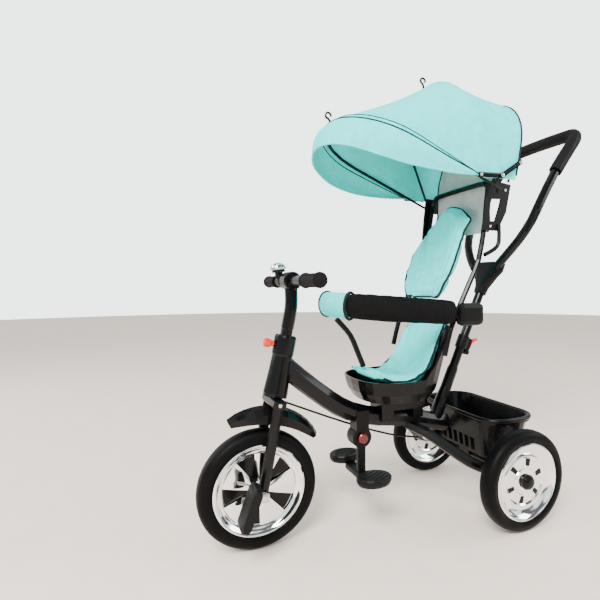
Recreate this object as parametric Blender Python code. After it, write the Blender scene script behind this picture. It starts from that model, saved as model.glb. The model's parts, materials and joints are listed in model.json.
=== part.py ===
"""A child's push tricycle with a folding canopy, as separate solids.

Frame: metres, +Z up, the rider looks along -Y and +X is the rider's left.  The origin is on the
floor, under the middle of the whole tricycle.
"""
import math

import bmesh
import bpy
from mathutils import Matrix, Vector

# Driving dimensions of the running gear.
LENGTH = 0.974
WHEELBASE = 0.563
TRACK = 0.387
FRONT_RADIUS = 0.127
FRONT_WIDTH = 0.0465
REAR_RADIUS = 0.115
REAR_WIDTH = 0.041
RIM_RATIO = 0.765
AXLE_RADIUS = 0.005
GAP = 0.0003

FRONT_Y = -LENGTH / 2 + FRONT_RADIUS
REAR_Y = FRONT_Y + WHEELBASE
FRONT_HUB = Vector((0, FRONT_Y, FRONT_RADIUS))

# The steering axis passes through the front hub; local Z runs up it and local Y backwards.
RAKE = math.radians(11)
STEERING = Matrix.Translation(FRONT_HUB) @ Matrix.Rotation(-RAKE, 4, "X")
FORK_SPREAD = 0.041
CROWN_Z = 0.178
HEAD_LOW = 0.196
HEAD_TOP = 0.318
HEAD_RADIUS = 0.019
STEERER_RADIUS = 0.013
BAR_HALF = 0.183
BAR_RADIUS = 0.011
BAR_PLACE = Vector((0, -0.012, 0.449))

# The push pole leans back; local Z runs up it from the frame tube.
POLE_LEAN = math.radians(24.1)
POLE_FOOT = Vector((0, 0.105, 0.242))
POLE = Matrix.Translation(POLE_FOOT) @ Matrix.Rotation(-POLE_LEAN, 4, "X")
SHAFT_RADIUS = 0.0085
POLE_RADIUS = 0.0115
POLE_RING = 0.112
POLE_TOP = 0.325
LINK_ARM = 0.034
LEVER_DEPTH = -0.078

# The frame tube is an oval, tall and narrow.
TUBE_HALF_WIDTH = 0.018
TUBE_HALF_HEIGHT = 0.0225
TUBE_ROUTE = [(0, -0.312, 0.396), (0, -0.271, 0.358), (0, -0.199, 0.300), (0, -0.143, 0.266),
              (0, -0.066, 0.244), (0, 0.020, 0.232), (0, 0.080, 0.217), (0, 0.127, 0.2065)]
STAY_ROUTE = [(0.004, 0.010, 0.218), (0.040, 0.045, 0.200), (0.080, 0.085, 0.167),
              (0.110, 0.120, 0.140), (0.134, 0.160, 0.123), (0.140, 0.200, 0.1153), (0.1405, 0.217, 0.1147)]
STAY_RADIUS = 0.013

# Seat and back.
SEAT_CENTRE_Y = -0.035
SEAT_WALL = 0.004
SEAT_FLOOR = 0.2850
SEAT_LEVELS = [(0.050, 0.055, SEAT_FLOOR), (0.088, 0.085, 0.294), (0.102, 0.099, 0.315)]
SEAT_RIM = (0.108, 0.106)
BACK_LEG_X = 0.1175
BACK_LEG_RADIUS = 0.0065
BACK_ROUTE = [(0.040, 0.400), (0.056, 0.460), (0.080, 0.510), (0.108, 0.565), (0.135, 0.620),
              (0.150, 0.690), (0.160, 0.745), (0.166, 0.785)]

# Guard rail.
RAIL_HALF = 0.130
RAIL_FRONT = -0.188
RAIL_REAR = 0.0632
RAIL_RADIUS = 0.008
RAIL_PIVOT = Vector((0, 0.086, 0.495))

# Canopy: every bow is a flat bar bent to a U whose plane holds the fold axis.
FOLD_AXIS = Vector((0, 0.169, 0.782))
BOW_HALF_THICK = 0.002
BOW_HALF_WIDE = 0.0035
BOW_CORNER = 0.134
REAR_CORNER = 0.128
FABRIC_X = 0.1570
FABRIC_HALF_THICK = 0.0011
FRONT_BOW = {"half": 0.1505, "angle": 158.0, "reach": 0.382}
MIDDLE_BOW = {"half": 0.1425, "angle": 112.5, "reach": 0.285}
REAR_BOW_FOOT = Vector((0, 0.2085, 0.806))
REAR_BOW_TOP = Vector((0, 0.249, 1.018))
REAR_BOW_HALF = 0.1345
BRACKET_X = (0.1245, 0.1290)

# Push handle.
HANDLE_HALF = 0.120
FOAM_RADIUS = 0.0165
HANDLE_REAR = LENGTH / 2 - FOAM_RADIUS
HANDLE_TUBE_RADIUS = 0.0115

# Footrest.
FOOT_HUB = Vector((0, -0.119, 0.204))
FOOT_HUB_RADIUS = 0.024
FOOT_BAR_Z = 0.118
FOOT_PLATE_X = 0.080

# Basket.
BASKET_HALF = 0.146
BASKET_FRONT = 0.152
BASKET_REAR = 0.292
BASKET_TOP = 0.241
BASKET_FLOOR = 0.1415
BASKET_WALL = 0.003
BASKET_CORNER = 0.048

BLACK_PAINT = ((0.012, 0.012, 0.013), 0.35, 0.0)
BLACK_PLASTIC = ((0.015, 0.015, 0.016), 0.25, 0.0)
BLACK_RUBBER = ((0.02, 0.02, 0.02), 0.8, 0.0)
BLACK_CLOTH = ((0.012, 0.013, 0.014), 0.95, 0.0)
CHROME = ((0.8, 0.8, 0.82), 0.1, 1.0)
TURQUOISE = ((0.30, 0.78, 0.76), 0.85, 0.0)
GREY_CLOTH = ((0.45, 0.47, 0.48), 0.9, 0.0)
RED_PLASTIC = ((0.75, 0.05, 0.03), 0.3, 0.0)
STEEL = ((0.6, 0.6, 0.6), 0.3, 1.0)


def clear_scene():
    """Remove whatever the start-up file holds."""
    for thing in list(bpy.data.objects):
        bpy.data.objects.remove(thing)


def finish_material(name, finish):
    """A Principled material with a colour, a roughness and a metallic value."""
    colour, roughness, metallic = finish
    material = bpy.data.materials.new(name)
    material.use_nodes = True
    shader = material.node_tree.nodes["Principled BSDF"]
    shader.inputs["Base Color"].default_value = (*colour, 1)
    shader.inputs["Roughness"].default_value = roughness
    shader.inputs["Metallic"].default_value = metallic
    return material


def make_object(name, bm, finish, place=Matrix.Identity(4), smooth=True):
    """Turn a bmesh into a named object, its faces pointing out, moved by a matrix."""
    bm.transform(place)
    bmesh.ops.recalc_face_normals(bm, faces=bm.faces)
    if bm.calc_volume(signed=True) < 0:
        bmesh.ops.reverse_faces(bm, faces=bm.faces)
    mesh = bpy.data.meshes.new(name)
    bm.to_mesh(mesh)
    bm.free()
    if smooth:
        mesh.shade_smooth()
        mesh.set_sharp_from_angle(angle=math.radians(35))
    thing = bpy.data.objects.new(name, mesh)
    bpy.context.collection.objects.link(thing)
    if finish:
        mesh.materials.append(finish_material(name, finish))
    return thing


def set_origin(thing, point):
    """Move an object's origin to a point on its joint axis; the shape stays."""
    thing.data.transform(Matrix.Translation(-Vector(point)))
    thing.location = point


def boolean(thing, tool, operation="DIFFERENCE"):
    """Cut or join with an exact Boolean; the tool is only a guide."""
    tool.hide_render = True
    tool.display_type = "WIRE"
    modifier = thing.modifiers.new(operation.title(), "BOOLEAN")
    modifier.operation = operation
    modifier.solver = "EXACT"
    modifier.object = tool
    return thing


def loft(bm, loops, closed_ring=False):
    """Skin equal loops of points in order; cap both ends, or close the ring on itself."""
    rings = [[bm.verts.new(point) for point in loop] for loop in loops]
    pairs = list(zip(rings, rings[1:]))
    if closed_ring:
        pairs.append((rings[-1], rings[0]))
    for low, high in pairs:
        for index in range(len(low)):
            after = (index + 1) % len(low)
            bm.faces.new((low[index], low[after], high[after], high[index]))
    if not closed_ring:
        bm.faces.new(rings[0][::-1])
        bm.faces.new(rings[-1])
    return bm


def smooth_route(points, steps):
    """A Catmull-Rom curve through the points, with a number of steps for each stretch."""
    points = [Vector(point) for point in points]
    ends = [2 * points[0] - points[1], *points, 2 * points[-1] - points[-2]]
    route = []
    for first, start, stop, last in zip(ends, ends[1:], ends[2:], ends[3:]):
        for step in range(steps):
            t = step / steps
            route.append(0.5 * (2 * start + (stop - first) * t
                                + (2 * first - 5 * start + 4 * stop - last) * t * t
                                + (3 * start - first - 3 * stop + last) * t ** 3))
    return route + [points[-1]]


def oval(centre, side, up, half_side, half_up, sides):
    """Points of an oval round a centre."""
    turns = [2 * math.pi * (index + 0.5) / sides for index in range(sides)]
    return [centre + side * half_side * math.cos(turn) + up * half_up * math.sin(turn)
            for turn in turns]


def sweep_loops(route, half_side, half_up, sides, reference):
    """Oval loops along a route; reference is the direction that the oval's up axis keeps to."""
    loops = []
    for index, point in enumerate(route):
        before = route[max(index - 1, 0)]
        after = route[min(index + 1, len(route) - 1)]
        along = (after - before).normalized()
        side = along.cross(Vector(reference)).normalized()
        up = side.cross(along).normalized()
        loops.append(oval(point, side, up, half_side, half_up, sides))
    return loops


def bar(name, points, half_side, finish, half_up=None, sides=10, steps=2, reference=(0, 0, 1),
        bore=None, place=Matrix.Identity(4)):
    """A bar or tube along a smooth route; bore gives it a hole from end to end."""
    route = smooth_route(points, steps)
    half_up = half_up or half_side
    bm = bmesh.new()
    outer = sweep_loops(route, half_side, half_up, sides, reference)
    if bore:
        inner = sweep_loops(route, bore, bore, sides, reference)
        loft(bm, [loop for loop in outer] + inner[::-1], closed_ring=True)
    else:
        loft(bm, outer)
    return make_object(name, bm, finish, place)


def turned(name, profile, finish, place, segments=24, half_turn=False):
    """A shape turned about local Z from a closed profile of (radius, height) points.

    A profile point at radius 0 lies on the axis, so the shape is solid there.
    """
    bm = bmesh.new()
    offset = 0.5 if half_turn else 0.0
    columns = []
    for step in range(segments):
        turn = 2 * math.pi * (step + offset) / segments
        columns.append([(radius * math.cos(turn), radius * math.sin(turn), height)
                        for radius, height in profile])
    loft(bm, columns, closed_ring=True)
    bmesh.ops.remove_doubles(bm, verts=bm.verts, dist=1e-6)
    wires = [edge for edge in bm.edges if not edge.link_faces]
    bmesh.ops.delete(bm, geom=wires, context="EDGES")
    return make_object(name, bm, finish, place)


def rod(name, radius, low, high, finish, place, segments=16):
    """A solid round rod along local Z."""
    profile = [(0, low), (radius, low), (radius, high), (0, high)]
    return turned(name, profile, finish, place, segments)


def ring(name, inner, outer, low, high, finish, place, segments=20):
    """A plain round tube along local Z."""
    profile = [(inner, low), (outer, low), (outer, high), (inner, high)]
    return turned(name, profile, finish, place, segments)


def block(name, low, high, finish, place=Matrix.Identity(4), bevel=0.0):
    """A box between two corners, with rounded edges if asked."""
    bm = bmesh.new()
    size = Vector(high) - Vector(low)
    middle = (Vector(high) + Vector(low)) / 2
    bmesh.ops.create_cube(bm, size=1, matrix=Matrix.Translation(middle) @ Matrix.Diagonal((*size, 1)))
    if bevel:
        bmesh.ops.bevel(bm, geom=bm.edges[:], offset=bevel, segments=2, profile=0.5,
                        affect="EDGES", clamp_overlap=True)
    return make_object(name, bm, finish, place)


def plate(name, outline, x_low, x_high, finish, mirror=1):
    """A flat plate that stands in the YZ plane, from an outline of (y, z) points."""
    bm = bmesh.new()
    loft(bm, [[(mirror * x, y, z) for y, z in outline] for x in (x_low, x_high)])
    return make_object(name, bm, finish, smooth=False)


def axle_place(x, y, z):
    """A matrix whose local Z runs along +X through a point."""
    return Matrix.Translation((x, y, z)) @ Matrix.Rotation(math.radians(90), 4, "Y")


def swept_guide(name, grow):
    """The frame tube's outline, grown a little, for cutting what meets it."""
    return bar(name, TUBE_ROUTE, TUBE_HALF_WIDTH + grow, None, TUBE_HALF_HEIGHT + grow)


# ---------------------------------------------------------------- frame

def build_frame():
    """The welded frame, the rear axle and the head's covers."""
    frame = bar("frame", TUBE_ROUTE, TUBE_HALF_WIDTH, BLACK_PAINT, TUBE_HALF_HEIGHT)
    across = axle_place(0, REAR_Y, REAR_RADIUS)
    for side, sign in (("left", 1), ("right", -1)):
        route = [(sign * x, y, z) for x, y, z in STAY_ROUTE]
        stay = bar(f"stay_guide_{side}", route, STAY_RADIUS, None, reference=(sign, 0, 0.3))
        boolean(frame, stay, "UNION")
    boolean(frame, rod("axle_tube_guide", 0.0100, -0.1355, 0.1355, None, across), "UNION")
    post = block("basket_post_guide", (-0.020, REAR_Y - 0.014, REAR_RADIUS + 0.002),
                 (0.020, REAR_Y + 0.014, BASKET_FLOOR - GAP), None)
    boolean(frame, post, "UNION")
    for name, low, high in (("saddle_front_guide", -0.072, -0.040), ("saddle_rear_guide", 0.015, 0.042)):
        boolean(frame, block(name, (-0.026, low, 0.238), (0.026, high, 0.268), None), "UNION")
    saddle = block("saddle_guide", (-0.030, -0.075, 0.262), (0.030, 0.045, SEAT_FLOOR - GAP), None)
    boolean(frame, saddle, "UNION")
    boolean(frame, block("head_front_guide", (-0.03, -0.08, 0.15), (0.03, 0.004, 0.42), None, STEERING))
    boolean(frame, rod("head_room_guide", HEAD_RADIUS + GAP, 0.10, 0.45, None, STEERING, 26))
    socket = [(0, -0.0362), (0.0163, -0.0362), (0.0163, 0.030), (0.0140, 0.060), (0.0140, POLE_RING - GAP),
              (0, POLE_RING - GAP)]
    boolean(frame, turned("socket_guide", socket, None, POLE, 20), "UNION")
    boolean(frame, rod("shaft_guide", SHAFT_RADIUS + GAP, -0.09, 0.15, None, POLE, 18))
    boolean(frame, rod("axle_guide", 0.006 + GAP, -0.2, 0.2, None, across))
    ring("head_tube", STEERER_RADIUS + GAP, HEAD_RADIUS, HEAD_LOW, HEAD_TOP, BLACK_PAINT, STEERING, 20)
    rod("rear_axle", 0.006, -0.2074, 0.2074, STEEL, across)
    sleeve = HEAD_RADIUS + GAP
    cover = [(sleeve, 0.197), (0.0262, 0.197), (0.0268, 0.205), (0.0256, 0.222), (0.0236, 0.252),
             (0.0222, 0.285), (0.0236, 0.290), (0.0240, 0.326), (0.0215, 0.331),
             (STEERER_RADIUS + GAP, 0.331), (STEERER_RADIUS + GAP, HEAD_TOP + GAP),
             (sleeve, HEAD_TOP + GAP)]
    head_cover = turned("head_cover", cover, BLACK_PLASTIC, STEERING)
    boolean(head_cover, swept_guide("cover_guide", GAP))
    knob_place = STEERING @ Matrix.Translation((0, -0.0247, 0.309)) @ Matrix.Rotation(
        math.radians(90), 4, "X")
    knob = [(0, 0), (0.0065, 0), (0.0065, 0.006), (0.0095, 0.008), (0.0100, 0.018), (0.0080, 0.0205),
            (0, 0.0205)]
    turned("steering_lock_knob", knob, RED_PLASTIC, knob_place, 20)


# ---------------------------------------------------------------- steering

def build_fork():
    """Fork, mudguard, stem, handlebar, grips and bell: all turn about the steering axis."""
    fork = block("fork", (-0.0515, -0.0140, CROWN_Z), (0.0515, 0.0140, 0.1955), BLACK_PAINT, STEERING,
                 0.003)
    boolean(fork, rod("steerer_guide", STEERER_RADIUS, 0.186, 0.345, None, STEERING, 24), "UNION")
    for side, sign in (("left", 1), ("right", -1)):
        leg = [(sign * FORK_SPREAD, 0, 0.188), (sign * FORK_SPREAD, 0, 0.10),
               (sign * FORK_SPREAD, 0, -0.012)]
        guide = bar(f"leg_guide_{side}", leg, 0.0085, None, half_up=0.0118, steps=1,
                    reference=(0, 1, 0), place=STEERING)
        boolean(fork, guide, "UNION")
    lug = block("lug_guide", (-LINK_ARM - 0.008, -0.004, 0.1885), (-0.021, 0.034, 0.1940), None,
                STEERING)
    boolean(fork, lug, "UNION")
    boolean(fork, rod("hub_guide", AXLE_RADIUS + GAP, -0.06, 0.06, None, axle_place(*FRONT_HUB)))
    build_mudguard()
    stem = [(0, 0, 0.3455), (0, 0, 0.385), (0, -0.003, 0.412), (0, -0.010, 0.440)]
    bar_axis = STEERING @ Matrix.Translation(BAR_PLACE) @ Matrix.Rotation(math.radians(90), 4, "Y")
    handlebar = rod("handlebar", BAR_RADIUS, -BAR_HALF, BAR_HALF, BLACK_PAINT, bar_axis, 16)
    boolean(handlebar, bar("stem_guide", stem, 0.0140, None, reference=(1, 0, 0), place=STEERING), "UNION")
    clamp = [(0, -0.021), (0.0175, -0.021), (0.0205, -0.017), (0.0205, 0.017), (0.0175, 0.021), (0, 0.021)]
    boolean(handlebar, turned("clamp_guide", clamp, None, bar_axis, 20), "UNION")
    grip = [(BAR_RADIUS + GAP, 0.103), (0.0158, 0.103), (0.0158, 0.107), (0.0130, 0.110),
            (0.0138, 0.146), (0.0130, 0.180), (0.0152, 0.183), (0.0152, 0.187), (0, 0.187),
            (0, BAR_HALF + GAP), (BAR_RADIUS + GAP, BAR_HALF + GAP)]
    for side, sign in (("left", 1), ("right", -1)):
        turn_about = Matrix.Rotation(math.radians(0 if sign > 0 else 180), 4, "X")
        turned(f"grip_{side}", grip, BLACK_RUBBER, bar_axis @ turn_about, 18)
    build_bell(bar_axis)


def build_mudguard():
    """A leaf-shaped shell over the front wheel, hung under the fork crown."""
    loops = []
    for step in range(13):
        t = step / 12
        turn = math.radians(113 - 76 * t)
        fullness = math.sin(math.pi * min(max(0.06 + 0.90 * t, 0), 1)) ** 0.45
        half = 0.030 * fullness
        ridge = 0.1674 + 0.0101 * math.sin(math.pi * t) ** 0.7
        skirt = ridge - 0.036 * fullness
        section = [(-half, skirt), (-half * 0.93, ridge - 0.016 * fullness), (-half * 0.5, ridge - 0.004),
                   (0, ridge), (half * 0.5, ridge - 0.004), (half * 0.93, ridge - 0.016 * fullness),
                   (half, skirt)]
        inner = [(x * 0.90, radius - 0.0028) for x, radius in section]
        inner[0] = (-half + 0.0022, skirt)
        inner[-1] = (half - 0.0022, skirt)
        loops.append([Vector((x, radius * math.cos(turn), radius * math.sin(turn)))
                      for x, radius in section + inner[::-1]])
    bm = bmesh.new()
    loft(bm, loops)
    make_object("mudguard", bm, BLACK_PLASTIC, Matrix.Translation(FRONT_HUB))


def build_bell(bar_axis):
    """Bell on the right of the clamp: foot, chrome dome and thumb lever."""
    foot_place = bar_axis @ Matrix.Translation((0, 0, -0.052))
    dome_place = (STEERING @ Matrix.Translation(BAR_PLACE + Vector((-0.052, -0.010, 0.0)))
                  @ Matrix.Rotation(math.radians(18), 4, "X"))
    base = [(0, 0.0050), (0.009, 0.0050), (0.009, 0.0185), (0.014, 0.0185), (0.015, 0.022), (0.014, 0.0255), (0, 0.0255)]
    bell_base = turned("bell_base", base, BLACK_PLASTIC, dome_place, 20)
    boolean(bell_base, rod("bell_foot_guide", 0.0155, -0.008, 0.008, None, foot_place, 20), "UNION")
    boolean(bell_base, rod("bell_bore_guide", BAR_RADIUS + GAP, -0.02, 0.02, None, foot_place, 16))
    dome = [(0, 0.0258), (0.0178, 0.0258), (0.0175, 0.030), (0.0145, 0.0355), (0.0085, 0.0395), (0, 0.041)]
    turned("bell_dome", dome, CHROME, dome_place, 20)
    lever = block("bell_lever", (0.0195, -0.004, 0.0185), (0.034, 0.004, 0.0215), BLACK_PLASTIC, dome_place,
                  0.001)
    set_origin(lever, dome_place @ Vector((0.0195, 0, 0.02)))


# ---------------------------------------------------------------- wheels

def tyre_profile(radius, width):
    """Closed profile of a foam tyre: round shoulders and a flat tread."""
    inner = radius * RIM_RATIO + GAP
    half = width / 2
    return [(inner, -half * 0.82), (inner + 0.008, -half), (radius - 0.009, -half * 0.95),
            (radius, -half * 0.50), (radius, half * 0.50), (radius - 0.009, half * 0.95),
            (inner + 0.008, half), (inner, half * 0.82)]


def build_tyre(name, radius, width, place, segments):
    """A tyre whose facets' middles touch the nominal radius, so it stands on a flat facet."""
    grow = 1 / math.cos(math.pi / segments)
    profile = [(r * grow, x) for r, x in tyre_profile(radius, width)]
    return turned(name, profile, BLACK_RUBBER, place, segments, half_turn=True)


def build_rim(name, radius, width, hub_half, bore, dish, place):
    """A plated wheel with five windows: a barrel, a lip, a dished web and a hub."""
    outer = radius * RIM_RATIO
    half = width / 2
    profile = [(bore, -hub_half), (0.016, -hub_half), (0.018, -0.006), (outer - 0.012, -0.006),
               (outer - 0.008, -half * 0.95), (outer, -half * 0.78), (outer, half * 0.78),
               (outer - 0.008, half * 0.95), (outer - 0.012, dish), (0.018, dish), (0.016, hub_half),
               (bore, hub_half)]
    rim = turned(name, profile, CHROME, place, 30)
    bm = bmesh.new()
    for spoke in range(5):
        middle = 2 * math.pi * (spoke + 0.5) / 5
        corners = [(0.26, 0.27), (0.26, 0.74), (-0.26, 0.74), (-0.26, 0.27)]
        narrow = [(turn * (0.9 if reach > 0.5 else 0.55), reach) for turn, reach in corners]
        outline = [(outer * reach * math.cos(middle + turn), outer * reach * math.sin(middle + turn))
                   for turn, reach in narrow]
        loft(bm, [[(x, y, z) for x, y in outline] for z in (-0.04, 0.04)])
    windows = make_object(f"{name}_windows", bm, None, place)
    boolean(rim, windows)
    return rim


def build_wheels():
    """Front wheel with cranks and folded pedals, and two rear wheels."""
    front = axle_place(*FRONT_HUB)
    build_tyre("front_tyre", FRONT_RADIUS, FRONT_WIDTH, front, 40)
    build_rim("front_rim", FRONT_RADIUS, FRONT_WIDTH, 0.030, AXLE_RADIUS + GAP, 0.006, front)
    crank_set = rod("crank_set", AXLE_RADIUS, -0.0610, 0.0610, STEEL, front)
    for side, sign in (("left", 1), ("right", -1)):
        build_crank(crank_set, side, sign)
        place = (Matrix.Translation((sign * TRACK / 2, REAR_Y, REAR_RADIUS))
                 @ Matrix.Rotation(math.radians(90) * sign, 4, "Y"))
        build_tyre(f"rear_tyre_{side}", REAR_RADIUS, REAR_WIDTH, place, 36)
        build_rim(f"rear_rim_{side}", REAR_RADIUS, REAR_WIDTH, 0.014, 0.006 + GAP, 0.004, place)
        cap = [(0, 0.0155), (0.0165, 0.0143), (0.0175, 0.0175), (0.0145, 0.0235), (0.0080, 0.0270), (0, 0.0278)]
        cap[0] = (0, 0.0143)
        turned(f"hub_cap_{side}", cap, BLACK_PLASTIC, place, 20)


CRANK_REACH = 0.036
CRANK_TURN = math.radians(178)
PEDAL_TURN = math.radians(70)
PEDAL_LENGTH = 0.086
PEDAL_X = (0.0660, 0.1150)


def build_crank(crank_set, side, sign):
    """Crank arm with its pedal pin, and the pedal that turns on the pin."""
    reach = CRANK_REACH if sign > 0 else -CRANK_REACH
    along = Vector((0, math.cos(CRANK_TURN), math.sin(CRANK_TURN)))
    tip = FRONT_HUB + along * reach
    middle = Vector((sign * 0.0585, 0, 0)) + FRONT_HUB
    beyond = along * math.copysign(0.010, reach)
    arm = bar(f"crank_guide_{side}", [middle - beyond, middle + along * reach + beyond],
              0.0025, None, half_up=0.009, steps=1, reference=(0, -along.z, along.y))
    pin_place = axle_place(*tip) @ Matrix.Rotation(math.radians(0 if sign > 0 else 180), 4, "X")
    boolean(crank_set, arm, "UNION")
    boolean(crank_set, rod(f"pin_guide_{side}", 0.0045, 0.0570, PEDAL_X[1] - 0.004, None, pin_place, 12), "UNION")
    long_way = Vector((0, math.cos(PEDAL_TURN), math.sin(PEDAL_TURN)))
    thick_way = Vector((0, -long_way.z, long_way.y))
    half = PEDAL_LENGTH / 2
    outline = [(-half, 0.006), (-half + 0.008, 0.0095), (half - 0.008, 0.0095), (half, 0.006),
               (half, -0.006), (half - 0.008, -0.0095), (-half + 0.008, -0.0095), (-half, -0.006)]
    loops = []
    for x, shrink in ((PEDAL_X[0], 0.93), (PEDAL_X[0] + 0.004, 1), (PEDAL_X[1] - 0.006, 1), (PEDAL_X[1], 0.90)):
        loops.append([Vector((sign * x, 0, 0)) + tip + long_way * (a * shrink) + thick_way * (b * shrink)
                      for a, b in outline])
    bm = bmesh.new()
    loft(bm, loops)
    pedal = make_object(f"pedal_{side}", bm, BLACK_PLASTIC)
    boolean(pedal, rod(f"bore_guide_{side}", 0.0049, 0.0500, PEDAL_X[1] - 0.0036, None, pin_place, 12))
    set_origin(pedal, tip + Vector((sign * PEDAL_X[0], 0, 0)))


# ---------------------------------------------------------------- footrest

def build_footrest():
    """Folding footrest: a bracket on the frame, a stem with a bar, two plates and a button."""
    hub = axle_place(*FOOT_HUB)
    bracket = rod("footrest_bracket", FOOT_HUB_RADIUS, -0.020, -GAP, BLACK_PLASTIC, hub, 28)
    neck = block("neck_guide", (-0.019, FOOT_HUB.y - 0.016, FOOT_HUB.z), (0.019, FOOT_HUB.y + 0.016, 0.268),
                 None)
    boolean(neck, rod("stem_room_guide", FOOT_HUB_RADIUS + 0.0008, -GAP, 0.03, None, hub, 28))
    boolean(bracket, neck, "UNION")
    boolean(bracket, swept_guide("bracket_guide", GAP))
    boolean(bracket, rod("button_room_guide", 0.0085, -0.030, 0.030, None, hub, 20))
    stem = rod("footrest", FOOT_HUB_RADIUS, GAP, 0.016, BLACK_PLASTIC, hub, 28)
    post = block("post_guide", (0.001, FOOT_HUB.y - 0.0100, FOOT_BAR_Z), (0.0155, FOOT_HUB.y + 0.0100, FOOT_HUB.z),
                 None, bevel=0.003)
    cross = block("cross_guide", (-0.056, FOOT_HUB.y - 0.014, FOOT_BAR_Z - 0.009),
                  (0.056, FOOT_HUB.y + 0.014, FOOT_BAR_Z + 0.006), None, bevel=0.004)
    boolean(stem, post, "UNION")
    boolean(stem, cross, "UNION")
    boolean(stem, rod("button_bore_guide", 0.0085, -0.030, 0.030, None, hub, 20))
    button = [(0, -0.015), (0.0080, -0.015), (0.0080, 0.0195), (0.0120, 0.0195), (0.0120, 0.0225), (0.0095, 0.0250),
              (0, 0.0255)]
    turned("footrest_button", button, RED_PLASTIC, hub, 24)
    for side, sign in (("left", 1), ("right", -1)):
        loops = []
        for z, grow in ((0.1220, 0.90), (0.1290, 1.0), (0.1370, 1.0), (0.1400, 0.93)):
            turns = [2 * math.pi * index / 16 for index in range(16)]
            loops.append([(sign * FOOT_PLATE_X + 0.033 * grow * math.cos(turn),
                           FOOT_HUB.y - 0.002 + 0.041 * grow * math.sin(turn), z) for turn in turns])
        bm = bmesh.new()
        loft(bm, loops)
        boolean(stem, make_object(f"plate_guide_{side}", bm, None), "UNION")
    set_origin(stem, FOOT_HUB)


# ---------------------------------------------------------------- seat

def rim_height(y):
    """Height of the seat shell's rim: level in front, climbing to the back."""
    rise = min(max((y - (SEAT_CENTRE_Y + 0.030)) / 0.075, 0), 1)
    return 0.345 + 0.120 * rise * rise * (3 - 2 * rise)


def shell_ring(half_x, half_y, level, inset):
    """One ring of the shell; the level is a height, or None for the rim."""
    points = []
    for index in range(28):
        turn = 2 * math.pi * index / 28
        c, s = math.cos(turn), math.sin(turn)
        x = (half_x - inset) * math.copysign(abs(c) ** 0.75, c)
        y = (half_y - inset) * math.copysign(abs(s) ** 0.75, s)
        outer_y = SEAT_CENTRE_Y + half_y * math.copysign(abs(s) ** 0.75, s)
        z = rim_height(outer_y) if level is None else level
        lean = 0.30 * max(z - 0.345, 0)
        points.append((x, SEAT_CENTRE_Y + y + lean, z))
    return points


def build_seat():
    """Moulded shell, soft pads, back frame and the grey back panel."""
    inner = [(half_x, half_y, z + SEAT_WALL) for half_x, half_y, z in SEAT_LEVELS]
    loops = [shell_ring(*level, 0) for level in SEAT_LEVELS]
    loops += [shell_ring(0.106, 0.104, 0.332, 0), shell_ring(*SEAT_RIM, None, 0)]
    loops += [shell_ring(*SEAT_RIM, None, SEAT_WALL), shell_ring(0.106, 0.104, 0.332, SEAT_WALL)]
    loops += [shell_ring(*level, SEAT_WALL) for level in inner[::-1]]
    bm = bmesh.new()
    loft(bm, loops)
    make_object("seat_shell", bm, BLACK_PLASTIC)
    build_seat_pad()
    build_back()


def build_seat_pad():
    """One pad for the seat and the low back: a sheet of foam whose sides curve up."""
    spine = [(-0.104, 0.350), (-0.070, 0.338), (-0.020, 0.332), (0.020, 0.340), (0.046, 0.372), (0.060, 0.420),
             (0.074, 0.470), (0.086, 0.505)]
    route = smooth_route([(0, y, z) for y, z in spine], 2)
    loops = []
    for index, point in enumerate(route):
        along = (route[min(index + 1, len(route) - 1)] - route[max(index - 1, 0)]).normalized()
        normal = Vector((0, -along.z, along.y))
        share = index / (len(route) - 1)
        half = 0.078 + 0.014 * math.sin(math.pi * min(share * 1.15, 1))
        lift = 0.026 * math.sin(math.pi * share) ** 2
        top, under = [], []
        for step in range(9):
            across = -1 + step / 4
            raise_by = lift * across * across
            thick = 0.009 * (1 - 0.6 * across ** 4)
            base = point + normal * raise_by + Vector((half * across, 0, 0))
            top.append(base + normal * thick)
            under.append(base - normal * thick)
        loops.append(top + under[::-1])
    bm = bmesh.new()
    loft(bm, loops)
    make_object("seat_pad", bm, TURQUOISE)


def back_y(z):
    """How far back the back frame's legs are at a height."""
    for (y0, z0), (y1, z1) in zip(BACK_ROUTE, BACK_ROUTE[1:]):
        if z0 <= z <= z1:
            return y0 + (y1 - y0) * (z - z0) / (z1 - z0)
    return BACK_ROUTE[-1][0]


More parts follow.
